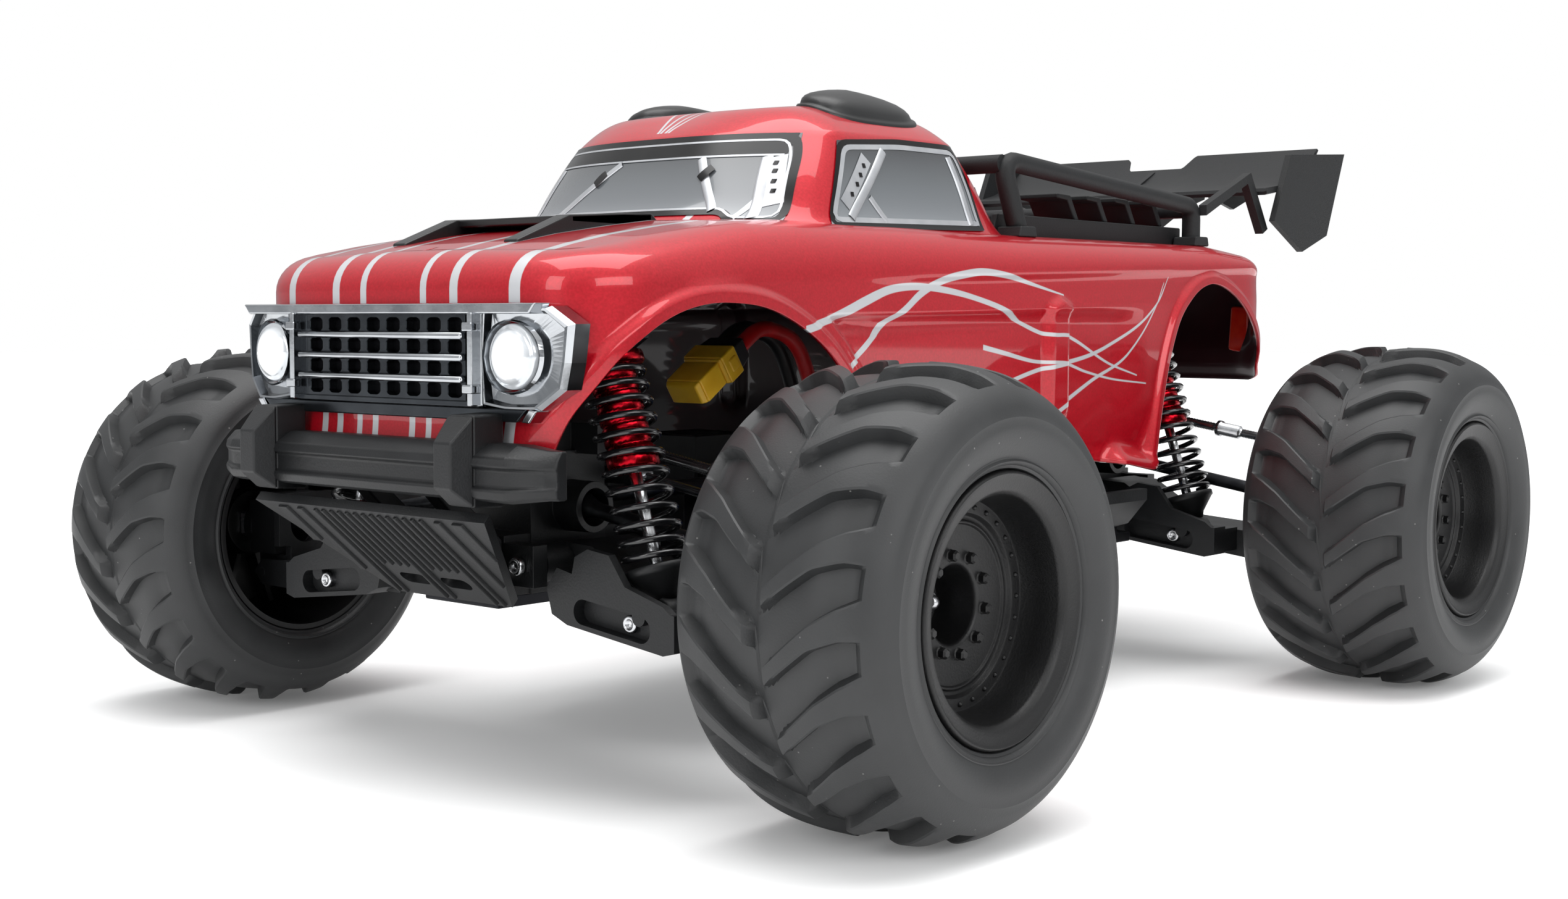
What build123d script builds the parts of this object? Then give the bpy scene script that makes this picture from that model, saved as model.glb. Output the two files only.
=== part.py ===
from build123d import *
import os
from math import atan2, cos, degrees, pi, sin

os.makedirs("parts", exist_ok=True)

# A four-wheel-drive radio-controlled pickup truck, in millimetres.
# +X is forward, +Y is the truck's left, +Z is up, and the ground is z = 0.

# Driving dimensions
FRONT_AXLE_X = 163.0
REAR_AXLE_X = -130.0
TYRE_R = 60.0
TYRE_INNER_Y = 105.5
TYRE_OUTER_Y = 171.0
BEAD_R = 34.2
RIM_INNER_R = 32.5
ARM_IN = (24.0, 61.0)        # (y, z) of the lower arm's chassis pivot
SWING = (98.0, -16.0)        # (y, z) from inner to outer pivot, shared by arm, link, shaft and tie rod
SHAFT_IN = (24.0, 76.0)
LINK_IN = (22.0, 95.0)
TIE_IN = (24.0, 84.0)
SHOCK_TOP = (43.7, 131.0)
SHOCK_BOTTOM = (69.7, 51.0)
SHOCK_X = 14.0               # shock centre ahead of the axle
LINK_X = -9.0                # upper link behind the axle
TIE_X = -22.0                # tie rod behind the front axle
KING_Y = 122.0               # kingpin distance from the centre line
PIN_R = 1.5
BORE_R = 1.55
OPEN_BORE_R = 2.9            # shock lower eye, wide enough for the pin's path
TIE_OPEN_BORE_R = 3.6
PLATE_LOW, PLATE_TOP = 48.0, 51.5
DRIVE_Z = SHAFT_IN[1]
MOTOR_Y = -25.0
SPUR_TEETH, PINION_TEETH = 44, 15
GEAR_X = (-78.0, -72.0)
GEAR_MODULE = 2 * abs(MOTOR_Y) / (SPUR_TEETH + PINION_TEETH)
SKIN = 1.8                   # wall of the moulded shell

ARM_OUT = (ARM_IN[0] + SWING[0], ARM_IN[1] + SWING[1])
SHAFT_OUT = (SHAFT_IN[0] + SWING[0], SHAFT_IN[1] + SWING[1])
LINK_OUT = (LINK_IN[0] + SWING[0], LINK_IN[1] + SWING[1])
TIE_OUT = (TIE_IN[0] + SWING[0], TIE_IN[1] + SWING[1])


def save(piece, name):
    """Label one sub-part and write it."""
    piece.label = name
    export_step(piece, f"parts/{name}.step")


def across(x):
    """Plane facing forward at x, with local axes Y and Z."""
    return Plane.YZ.offset(x)


def along(start, end):
    """Plane at start whose normal points at end."""
    direction = Vector(*end) - Vector(*start)
    return Plane(origin=start, x_dir=(1, 0, 0), z_dir=direction)


def rod(start, end, radius):
    """Round bar between two points, added to the open part."""
    with BuildSketch(along(start, end)) as section:
        Circle(radius)
    extrude(section.sketch, amount=(Vector(*end) - Vector(*start)).length)


def bar_x(x0, x1, y, z, radius, mode=Mode.ADD):
    """Round bar or bore parallel to X."""
    with BuildSketch(across(x0)) as section:
        with Locations((y, z)):
            Circle(radius)
    extrude(section.sketch, amount=x1 - x0, mode=mode)


def bar_y(y0, y1, x, z, radius, mode=Mode.ADD):
    """Round bar or bore parallel to Y."""
    with BuildSketch(Plane(origin=(x, y0, z), x_dir=(1, 0, 0), z_dir=(0, 1, 0))) as section:
        Circle(radius)
    extrude(section.sketch, amount=y1 - y0, mode=mode)


def bar_z(z0, z1, x, y, radius, mode=Mode.ADD):
    """Round bar or bore parallel to Z."""
    with BuildSketch(Plane.XY.offset(z0)) as section:
        with Locations((x, y)):
            Circle(radius)
    extrude(section.sketch, amount=z1 - z0, mode=mode)


def block(x0, x1, y0, y1, z0, z1, mode=Mode.ADD):
    """Rectangular block between two corners."""
    with BuildSketch(Plane.XY.offset(z0)) as base:
        with Locations(((x0 + x1) / 2, (y0 + y1) / 2)):
            Rectangle(x1 - x0, y1 - y0)
    extrude(base.sketch, amount=z1 - z0, mode=mode)


def slab_x(x0, x1, points, mode=Mode.ADD):
    """Outline of (y, z) points, thickened from x0 to x1."""
    with BuildSketch(across(x0)) as outline:
        with BuildLine():
            Polyline(*points, close=True)
        make_face()
    extrude(outline.sketch, amount=x1 - x0, mode=mode)


def slab_y(y0, y1, points, mode=Mode.ADD):
    """Outline of (x, z) points, thickened from y0 to y1."""
    with BuildSketch(Plane.XZ.offset(-y1)) as outline:
        with BuildLine():
            Polyline(*points, close=True)
        make_face()
    extrude(outline.sketch, amount=y1 - y0, mode=mode)


def slab_z(z0, z1, points, mode=Mode.ADD):
    """Outline of (x, y) points, thickened from z0 to z1."""
    with BuildSketch(Plane.XY.offset(z0)) as outline:
        with BuildLine():
            Polyline(*points, close=True)
        make_face()
    extrude(outline.sketch, amount=z1 - z0, mode=mode)


# Chassis ---------------------------------------------------------------------

def chassis_plate():
    """Flat tub floor, its two side lips and the motor mount."""
    half = [(190, 16), (136, 16), (116, 60), (-84, 60), (-104, 16), (-166, 16)]
    with BuildPart() as part:
        slab_z(PLATE_LOW, PLATE_TOP, [*half, *[(x, -y) for x, y in reversed(half)]])
        for y in (-60.0, 58.0):
            block(-75, 105, y, y + 2, PLATE_TOP, 62)
        block(-70, -67, -45, -6, PLATE_TOP, 96)
        bar_x(-71, -66, MOTOR_Y, DRIVE_Z, 6.0, Mode.SUBTRACT)
    return part.part


def gear_housings():
    """Front and rear differential cases with the arm hinge lugs and link pins."""
    with BuildPart() as part:
        for axle, inward in ((FRONT_AXLE_X, -1), (REAR_AXLE_X, 1)):
            block(axle - 14, axle + 16, -18, 18, PLATE_TOP, 92)
            block(axle - 14, axle + 16, -16, 16, 92, 100)
            block(axle - 26, axle + 26, -17.5, 17.5, PLATE_TOP, 69)
            for side in (1, -1):
                y, z = side * ARM_IN[0], ARM_IN[1]
                inner = min(side * 17, side * 29.5)
                for x in (axle - 26, axle + 20.5):
                    block(x, x + 5.5, inner, inner + 12.5, 55, 67)
                    bar_x(x - 1, x + 6.5, y, z, BORE_R, Mode.SUBTRACT)
                bar_y(min(side * 18, side * 28), max(side * 18, side * 28), axle, DRIVE_Z, 7.5)
                bar_y(min(side * 15, side * 29), max(side * 15, side * 29), axle, DRIVE_Z, 5.5,
                      Mode.SUBTRACT)
                block(axle - 6, axle - 2, min(side * 12, side * 27), max(side * 12, side * 27), 91, 100)
                bar_x(axle - 14.2, axle - 2, side * LINK_IN[0], LINK_IN[1], PIN_R)
                bar_x(axle - 14.2, axle - 12.2, side * LINK_IN[0], LINK_IN[1], 2.6)
            end = axle + inward * 16 if inward > 0 else axle - 14
            bar_x(min(end, end - inward * 9), max(end, end - inward * 9), 0, DRIVE_Z, 2.55, Mode.SUBTRACT)
    return part.part


def shock_towers():
    """Front and rear uprights that carry the shocks' top pivots."""
    y, z = SHOCK_TOP
    half = [(15, 100), (22, 108), (y + 7, z - 6), (y + 7, z + 6), (y - 7, z + 6), (26, 126)]
    with BuildPart() as part:
        for axle in (FRONT_AXLE_X, REAR_AXLE_X):
            slab_x(axle + 1, axle + 5, [*half, *[(-a, b) for a, b in reversed(half)]])
            for side in (1, -1):
                bar_x(axle + 5, axle + SHOCK_X - 4, side * y, z, 3.0)
                bar_x(axle + 4, axle + SHOCK_X + 6, side * y, z, PIN_R)
                bar_x(axle + SHOCK_X + 4, axle + SHOCK_X + 6, side * y, z, 3.0)
    return part.part


def front_bumper():
    """Moulded bumper bar with two proud uprights and two brackets."""
    with BuildPart() as part:
        slab_y(-72, 72, [(215.6, 83), (215.6, 98), (224, 98), (227.5, 94), (227.5, 87), (224, 83)])
        slab_z(80, 100, [(215.6, -72), (222, -72), (227.5, -62), (227.5, 62), (222, 72), (215.6, 72)],
               Mode.INTERSECT)
        block(226, 231.5, -42, 42, 86, 94)
        for y in (-47.5, 41.5):
            slab_y(y, y + 6, [(215.6, 81), (215.6, 105.8), (226, 105.8), (233.5, 96), (233.5, 86), (227, 81)])
        for y in (-18, 12):
            slab_y(y, y + 6, [(189, 58), (189, 68), (205, 88), (216, 90.5), (216, 84)])
    return part.part


def skid_plates():
    """Ribbed front skid plate and the two side guards."""
    slope = Plane(origin=(206.6, 0, 65.6), x_dir=(0, 1, 0), z_dir=(0.649, 0, -0.761))
    with BuildPart() as part:
        with BuildSketch(slope):
            with BuildLine():
                Polyline((-25, -21), (25, -21), (50, 22), (-50, 22), close=True)
            make_face()
        extrude(amount=3)
        with BuildSketch(slope.offset(-1)):
            with Locations((9, -12), (-9, -12)):
                SlotOverall(12, 5)
        extrude(amount=6, mode=Mode.SUBTRACT)
        for side in (1, -1):
            slab_x(-72, 88, [(side * a, b) for a, b in ((60, 54), (60, 61), (70, 69), (73.5, 69), (73.5, 65),
                                                        (66, 56))])
    return part.part


def battery_pack():
    """Shrink-wrapped battery brick on the left of the tub."""
    with BuildPart() as part:
        block(-62, 76, 10, 57, PLATE_TOP, 77)
        fillet(part.edges().filter_by(Axis.X), 3)
    return part.part


def battery_lead():
    """Red and black silicone leads that rise from the battery and arch to the plug."""
    with BuildPart() as part:
        for y in (20.0, 28.0):
            route = [(62, y, 77), (62, y, 104), (72, y, 124), (90, y, 128), (101, y, 120.5)]
            with BuildLine() as path:
                FilletPolyline(*route, radius=(14, 16, 14))
            with BuildSketch(Plane(origin=route[0], z_dir=(0, 0, 1))):
                Circle(1.9)
            sweep(path=path.line)
        with BuildSketch(Plane(origin=(101, 24, 120.5), x_dir=(0, 1, 0), z_dir=(11, 0, -7.5))):
            Rectangle(16, 9)
        extrude(amount=24)
    return part.part


def speed_controller():
    """Finned motor controller with its cooling fan, on the right of the tub."""
    with BuildPart() as part:
        block(20, 75, -57, -18, PLATE_TOP, 74)
        for x in range(23, 73, 5):
            block(x, x + 2, -57, -18, 74, 80)
        block(31, 64.5, -53, -22, 73, 90)
        bar_z(84, 91, 47.5, -37.5, 13, Mode.SUBTRACT)
    return part.part


def drive_motor():
    """Can motor beside the centre shaft, bored for its own shaft."""
    with BuildPart() as part:
        bar_x(-66.9, -8, MOTOR_Y, DRIVE_Z, 17.5)
        bar_x(-68.9, -66.9, MOTOR_Y, DRIVE_Z, 5.9)
        bar_x(-8, -5, MOTOR_Y, DRIVE_Z, 6)
        bar_x(-70, -50, MOTOR_Y, DRIVE_Z, 1.65, Mode.SUBTRACT)
    return part.part


def steering_servo():
    """Servo with its mounting ears, beside the front differential."""
    with BuildPart() as part:
        block(92, 132, -57, -37, PLATE_TOP, 88)
        block(85, 139, -57, -37, 76, 79)
        bar_z(88, 94, 122, -47, 3.5)
    return part.part


def toothed_wheel(teeth, phase, centre_y):
    """Spur gear blank with straight-sided teeth and backlash, in the gear plane."""
    pitch_r = GEAR_MODULE * teeth / 2
    step = 2 * pi / teeth
    corners = ((-0.30, -1.15), (-0.13, 0.75), (0.13, 0.75), (0.30, -1.15))
    points = []
    for tooth in range(teeth):
        for turn, height in corners:
            angle = phase + (tooth + turn) * step
            radius = pitch_r + height * GEAR_MODULE
            points.append((centre_y + radius * cos(angle), DRIVE_Z + radius * sin(angle)))
    slab_x(GEAR_X[0], GEAR_X[1], points)


def centre_shaft():
    """Propeller shaft between the differentials, with the spur gear fixed on it."""
    with BuildPart() as part:
        toothed_wheel(SPUR_TEETH, pi, 0)
        bar_x(REAR_AXLE_X + 8, FRONT_AXLE_X - 6, 0, DRIVE_Z, 2.5)
        bar_x(GEAR_X[1], GEAR_X[1] + 5, 0, DRIVE_Z, 6)
    return part.part


def pinion_gear():
    """Motor shaft with its pinion, in mesh with the spur gear."""
    with BuildPart() as part:
        toothed_wheel(PINION_TEETH, pi / PINION_TEETH, MOTOR_Y)
        bar_x(GEAR_X[0] - 1, -52, MOTOR_Y, DRIVE_Z, 1.6)
    return part.part


# Steering --------------------------------------------------------------------

def steering_link():
    """Cross bar that slides sideways and carries both tie rod pins."""
    x = FRONT_AXLE_X + TIE_X
    y, z = TIE_IN
    with BuildPart() as part:
        block(x + 2.9, x + 6.5, -y - 4, y + 4, z - 2.5, z + 2.5)
        for side in (1, -1):
            bar_x(x - 3.6, x + 2.9, side * y, z, PIN_R)
    return part.part


def tie_rod():
    """Left tie rod: eye on the cross bar, rod and open ring over the knuckle's post."""
    x = FRONT_AXLE_X + TIE_X
    start, end = (x, *TIE_IN), (x, *TIE_OUT)
    axis = (Vector(*end) - Vector(*start)).normalized()
    with BuildPart() as part:
        bar_x(x - 2.3, x + 2.3, *TIE_IN, 4)
        rod(Vector(*start) + axis * 3, Vector(*end) - axis * 4.5, 1.4)
        bar_z(TIE_OUT[1] - 1.5, TIE_OUT[1] + 1.5, x, TIE_OUT[0], 5.4)
        bar_x(x - 3, x + 3, *TIE_IN, BORE_R, Mode.SUBTRACT)
        bar_z(TIE_OUT[1] - 3, TIE_OUT[1] + 3, x, TIE_OUT[0], TIE_OPEN_BORE_R, Mode.SUBTRACT)
    return part.part


def steering_knuckle():
    """Left front knuckle: kingpins, bearing ring, steering arm and ball post."""
    axle = FRONT_AXLE_X
    with BuildPart() as part:
        block(axle - 8.2, axle + 8.2, KING_Y - 6, KING_Y + 8, 51.3, 68.7)
        bar_y(KING_Y + 7, KING_Y + 11, axle, TYRE_R, 8.7)
        block(axle + TIE_X - 3.5, axle - 8, KING_Y - 4, KING_Y + 4, 61.5, 64.7)
        bar_z(64, 72.5, axle + TIE_X, KING_Y, PIN_R)
        bar_y(KING_Y - 7, KING_Y + 4.5, axle, TYRE_R, 6.5, Mode.SUBTRACT)
        bar_y(KING_Y + 4, KING_Y + 12, axle, TYRE_R, 3.05, Mode.SUBTRACT)
        bar_z(48, 51.5, axle, KING_Y, PIN_R)
        bar_z(68.5, 72, axle, KING_Y, PIN_R)
    return part.part


# Corner modules, drawn for the left side and mirrored for the right ------------

def lower_arm(axle):
    """Lower suspension arm with its hinge pin, shock pocket and shock screw."""
    web = [(20, 57), (26, 55), (52, 45), (90, 40.5), (ARM_OUT[0], 40.8), (ARM_OUT[0] + 4.2, 45),
           (ARM_OUT[0], 49.2), (92, 50.5), (57, 53), (36, 66), (24, 66.5)]
    wall = [(36, 56), (38, 49), (44, 46.5), (80, 42), (84, 43), (84, 53), (58, 53.5), (50, 60), (40, 62)]
    knee = [(44, 52), (47, 65.5), (52, 68), (60, 67), (66, 59), (80, 55), (84, 52)]
    y, z = SHOCK_BOTTOM
    with BuildPart() as part:
        slab_x(axle - 16, axle + 9.3, web)
        bar_x(axle - 20.3, axle + 20, *ARM_IN, 5.4)
        slab_x(axle + 18.6, axle + 27, wall)
        slab_x(axle + 24.4, axle + 27, knee)
        block(axle + 9, axle + 20, 36, 55, 47, 53.5)
        block(axle + 9, axle + 20, 76, 84, 43.5, 52)
        block(axle - 17, axle - 9.5, 92, 130, 38, 56, Mode.SUBTRACT)
        block(axle - 6.9, axle + 6.9, 106.5, 130, 38, 56, Mode.SUBTRACT)
        with BuildSketch(across(axle + 27)):
            with Locations((61, 49.3)):
                SlotOverall(29, 7, rotation=-7)
        extrude(amount=-4, mode=Mode.SUBTRACT)
        bar_x(axle - 22, axle + 22, *ARM_IN, BORE_R, Mode.SUBTRACT)
        bar_x(axle + 5, axle + 24, y, z, BORE_R, Mode.SUBTRACT)
        bar_x(axle - 10, axle + 10, *ARM_OUT, BORE_R, Mode.SUBTRACT)
        bar_x(axle - 26.5, axle + 26.5, *ARM_IN, PIN_R)
        bar_x(axle + 5.2, axle + 23.1, y, z, PIN_R)
        bar_x(axle + 23.1, axle + 25.6, y, z, 2.4)
    return part.part


def upper_link(axle):
    """Turnbuckle between the differential case and the hub carrier."""
    x = axle + LINK_X
    start, end = (x, *LINK_IN), (x, *LINK_OUT)
    axis = (Vector(*end) - Vector(*start)).normalized()
    with BuildPart() as part:
        for y, z in (LINK_IN, LINK_OUT):
            bar_x(x - 2.3, x + 2.3, y, z, 3.8)
        rod(Vector(*start) + axis * 3, Vector(*end) - axis * 3, 1.6)
        for y, z in (LINK_IN, LINK_OUT):
            bar_x(x - 3, x + 3, y, z, BORE_R, Mode.SUBTRACT)
    return part.part


def drive_shaft(axle):
    """Dog-bone half shaft with a ball at each end."""
    start, end = (axle, *SHAFT_IN), (axle, *SHAFT_OUT)
    with BuildPart() as part:
        with Locations(start, end):
            Sphere(4)
        rod(start, end, 2.5)
    return part.part


def carrier_top(axle):
    """Post and pin that hold the upper link's outer eye, added to the open carrier."""
    y, z = LINK_OUT
    block(axle - 5.9, axle - 1, y - 4, y + 4, 70, z + 4)
    bar_x(axle - 13.6, axle - 5, y, z, PIN_R)
    bar_x(axle - 13.6, axle - 12, y, z, 2.6)


def front_carrier():
    """Front caster block, a C that holds the knuckle between two lips."""
    axle = FRONT_AXLE_X
    with BuildPart() as part:
        block(axle - 6.4, axle + 6.4, KING_Y - 12.5, KING_Y + 5, 40.8, 51)
        block(axle - 11, axle + 11, KING_Y - 12.5, KING_Y - 9.5, 54.5, 72)
        block(axle - 6.4, axle + 6.4, KING_Y - 12.5, KING_Y - 9.5, 50, 56)
        block(axle - 6.4, axle + 6.4, KING_Y - 12.5, KING_Y + 5, 69, 72)
        carrier_top(axle)
        bar_y(KING_Y - 14, KING_Y - 9, axle, TYRE_R + 1.6, 6.3, Mode.SUBTRACT)
        bar_z(46, 52, axle, KING_Y, BORE_R, Mode.SUBTRACT)
        bar_z(68, 73, axle, KING_Y, BORE_R, Mode.SUBTRACT)
        bar_x(axle - 9.4, axle + 9.4, *ARM_OUT, PIN_R)
    return part.part


def rear_carrier():
    """Rear hub carrier with its bearing ring."""
    axle = REAR_AXLE_X
    with BuildPart() as part:
        block(axle - 6.4, axle + 6.4, KING_Y - 10, KING_Y + 5, 40.8, 55)
        block(axle - 9, axle + 9, KING_Y - 10, KING_Y + 8, 54, 72)
        bar_y(KING_Y + 7, KING_Y + 11, axle, TYRE_R, 8.7)
        carrier_top(axle)
        bar_y(KING_Y - 11, KING_Y + 4.5, axle, TYRE_R, 6.8, Mode.SUBTRACT)
        bar_y(KING_Y + 4, KING_Y + 12, axle, TYRE_R, 3.05, Mode.SUBTRACT)
        bar_x(axle - 9.4, axle + 9.4, *ARM_OUT, PIN_R)
    return part.part


def around_wheel(axle, points):
    """Spin an outline of (y, radius) points about the left wheel's axle."""
    with BuildSketch(Plane(origin=(axle, 0, TYRE_R), x_dir=(0, 1, 0), z_dir=(1, 0, 0))) as outline:
        with BuildLine():
            Polyline(*points, close=True)
        make_face()
    revolve(outline.sketch, axis=Axis((axle, 0, TYRE_R), (0, 1, 0)))


def tyre(axle):
    """Rubber carcass over a foam insert."""
    with BuildPart() as part:
        around_wheel(axle, [(110, BEAD_R), (107, 38), (TYRE_INNER_Y, 46), (107.5, 53), (112, 58), (118, TYRE_R),
                            (158.5, TYRE_R), (164.5, 58), (169, 53), (TYRE_OUTER_Y, 46.8), (169.8, 39),
                            (166.5, BEAD_R), (162, BEAD_R), (162, 38), (166.5, 46), (165, 51.5), (157, 55),
                            (119, 55), (111, 51.5), (109.5, 46), (114, 38), (114, BEAD_R)])
        around_wheel(axle, [(116, 36), (160, 36), (164, 46), (156, 54), (120, 54), (112.5, 46)])
    return part.part


def rim(axle):
    """Deep-dished wheel rim with its hex hub, stub axle and wheel nut."""
    with BuildPart() as part:
        around_wheel(axle, [(109, RIM_INNER_R), (109, BEAD_R), (167, BEAD_R), (168.5, 33), (168.5, 30),
                            (166, 27.6), (155, 25.8), (153, 25.8), (153, 6), (149, 6), (149, RIM_INNER_R - 3),
                            (146, RIM_INNER_R)])
        around_wheel(axle, [(133.4, 3.3), (133.4, 6.8), (148.7, 6.8), (148.7, 3.3)])
        around_wheel(axle, [(126.9, 0), (126.9, 3), (158.5, 3), (158.5, 0)])
        around_wheel(axle, [(153.3, 3.3), (153.3, 5.4), (157.5, 5.4), (157.5, 3.3)])
    return part.part


def shock_point(axle, distance):
    """Point on the left shock's centre line, measured down from its top pivot."""
    run = Vector(0, *SHOCK_BOTTOM) - Vector(0, *SHOCK_TOP)
    return Vector(axle + SHOCK_X, *SHOCK_TOP) + run.normalized() * distance


def shock_tube(axle, start, end, radius, mode=Mode.ADD):
    """Round section along the shock's centre line."""
    first, last = shock_point(axle, start), shock_point(axle, end)
    with BuildSketch(along(first, last)) as section:
        Circle(radius)
    extrude(section.sketch, amount=(last - first).length, mode=mode)


def shock_body(axle):
    """Threaded damper body with its top eye and spring collar."""
    x = axle + SHOCK_X
    with BuildPart() as part:
        shock_tube(axle, 3, 12, 5.5)
        shock_tube(axle, 10, 44, 6.5)
        shock_tube(axle, 12, 15, 9.6)
        bar_x(x - 3.4, x + 3.4, *SHOCK_TOP, 4.3)
        bar_x(x - 5, x + 5, *SHOCK_TOP, BORE_R, Mode.SUBTRACT)
        shock_tube(axle, 14, 50, 1.8, Mode.SUBTRACT)
    return part.part


def shock_rod(axle):
    """Damper rod with the lower spring cup and the lower eye."""
    x = axle + SHOCK_X
    with BuildPart() as part:
        shock_tube(axle, 29, 74, 1.75)
        shock_tube(axle, 71, 73.5, 9.4)
        shock_tube(axle, 73, 81, 3)
        bar_x(x - 3.4, x + 3.4, *SHOCK_BOTTOM, 4.6)
        bar_x(x - 5, x + 5, *SHOCK_BOTTOM, OPEN_BORE_R, Mode.SUBTRACT)
    return part.part


def spring(axle):
    """Coil spring, kept to the sleeve that its turns fill."""
    with BuildPart() as part:
        shock_tube(axle, 15.1, 70.9, 9.6)
        shock_tube(axle, 15.1, 70.9, 8.2, Mode.SUBTRACT)
    return part.part


# Body shell ------------------------------------------------------------------

FRONT_ARCH = [(214, 92), (207.7, 105.8), (199, 117.6), (190, 125.5), (178, 131.6), (161, 134.4), (141, 131.6),
              (118.4, 122.6), (105.5, 113.3), (97, 101), (92, 86)]
REAR_ARCH = [(-73.8, 77), (-81.3, 108.9), (-92.1, 131.5), (-103, 139.5), (-115.5, 143.1), (-128, 141),
             (-140.9, 134.5), (-157.8, 119.3), (-165, 110)]
BODY_TOP = [(-172, 110), (-163, 131.5), (-160, 148), (-150, 155.6), (-125, 158.5), (1, 158.5), (120, 160.5),
            (157, 157), (192.7, 151.4), (205.6, 148.2), (213, 143), (214, 135)]
CAB_SIDE = [(128, 152), (124, 161), (107.5, 187.5), (100, 193), (80, 196.3), (50, 198), (27, 194), (16, 187),
            (0, 157), (0, 152)]
BODY_HALF = 74.0
CAB_BASE_HALF, CAB_EAVES_HALF = 61.0, 53.0


def plan_outline(inset):
    """Outline of the lower body seen from above, moved in by the skin."""
    half = [(214 - inset, 62 - inset), (209, 70 - inset), (190, BODY_HALF - inset),
            (-150, BODY_HALF - inset), (-172 + inset, 68 - inset)]
    return [*half, *[(x, -y) for x, y in reversed(half)]]


def cab_outline(inset):
    """Cab cross-section seen from the front, with a crowned roof."""
    half = [(CAB_BASE_HALF + 2 - inset, 150), (CAB_EAVES_HALF - inset, 187), (46 - inset, 193.5 - inset),
            (20, 197.6 - inset)]
    return [*half, *[(-y, z) for y, z in reversed(half)]]


def lower_block():
    """Solid lower body with its wheel arches cut."""
    with BuildPart() as part:
        slab_y(-BODY_HALF, BODY_HALF, [*FRONT_ARCH, (60, 83), (-30, 82), (-54, 79), *REAR_ARCH, *BODY_TOP])
        slab_z(60, 180, plan_outline(0), Mode.INTERSECT)
    return part.part


def lower_hollow():
    """Space under the skin of the lower body, open below."""
    inner = [(-169, 60), (-169, 112), (-161.2, 131), (-158.3, 146.8), (-149, 153.8), (-125, 156.7),
             (1, 156.7), (120, 158.7), (157, 155.2), (192.4, 149.6), (204.8, 146.5), (211.2, 142), (212.2, 135),
             (212.2, 60)]
    with BuildPart() as part:
        slab_y(-BODY_HALF, BODY_HALF, inner)
        slab_z(50, 180, plan_outline(SKIN), Mode.INTERSECT)
    return part.part


def cab_block(inset):
    """Cab volume: the outside for inset 0, the hollow for inset equal to the skin."""
    side = [(x - (inset if x > 60 else -inset), z - (inset if z > 190 else 0)) for x, z in CAB_SIDE]
    with BuildPart() as part:
        slab_y(-70, 70, side)
        slab_x(-10, 140, cab_outline(inset), Mode.INTERSECT)
    return part.part


def shell_blank():
    """The whole skin before any window is cut."""
    outside, hollow, cab, cab_hollow = lower_block(), lower_hollow(), cab_block(0), cab_block(SKIN)
    with BuildPart() as part:
        add(outside)
        add(cab)
        add(hollow, mode=Mode.SUBTRACT)
        add(cab_hollow, mode=Mode.SUBTRACT)
    return part.part


def window_cutters(gap):
    """Prisms through the side, front and rear windows, smaller by the gap."""
    side = [(94 - gap, 161 + gap), (87 - gap, 184 - gap), (33 + gap, 185 - gap), (15 + gap, 161 + gap)]
    front = [(55 - gap, 164 + gap), (47 - gap, 184 - gap), (gap - 47, 184 - gap), (gap - 55, 164 + gap)]
    rear = [(45 - gap, 164 + gap), (40 - gap, 183 - gap), (gap - 40, 183 - gap), (gap - 45, 164 + gap)]
    with BuildPart() as part:
        slab_y(-70, 70, side)
        block(10, 100, -50.5, 50.5, 155, 190, Mode.SUBTRACT)
        slab_x(104, 130, front)
        slab_x(-3, 17, rear)
    return part.part


def body_shell():
    """Painted shell with window, grille and hood openings."""
    blank, cutters = shell_blank(), window_cutters(0)
    with BuildPart() as part:
        add(blank)
        add(cutters, mode=Mode.SUBTRACT)
        block(209, 216, -58, 58, 107.5, 133, Mode.SUBTRACT)
        block(149.9, 193.2, -27.1, 27.1, 147, 162, Mode.SUBTRACT)
    return part.part


def window_panels():
    """Clear panes printed on their inner face, set into the shell."""
    blank, cutters = shell_blank(), window_cutters(0.1)
    with BuildPart() as part:
        add(blank)
        add(cutters, mode=Mode.INTERSECT)
    return part.part


def grille_surround():
    """Plated grille with square openings, three bars and two lamp bezels."""
    outline = [(58, 106.2), (66, 111), (69.5, 118), (69.5, 128), (64, 134)]
    with BuildPart() as part:
        slab_x(214.1, 219.5, [*outline, *[(-y, z) for y, z in reversed(outline)]])
        with BuildSketch(across(214)):
            with GridLocations(8.6, 5.8, 8, 4):
                with Locations((0, 120)):
                    Rectangle(6.2, 4.2)
            with Locations((51.6, 120.5), (-51.6, 120.5)):
                Circle(9.5)
        extrude(amount=8, mode=Mode.SUBTRACT)
        for z in (114.2, 120, 125.8):
            bar_y(-36, 36, 219.7, z, 0.9)
    return part.part


def headlight_lenses():
    """Two round lamp lenses behind the bezels."""
    with BuildPart() as part:
        for side in (1, -1):
            bar_x(214.2, 217.5, side * 51.6, 120.5, 9.3)
    return part.part


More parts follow.
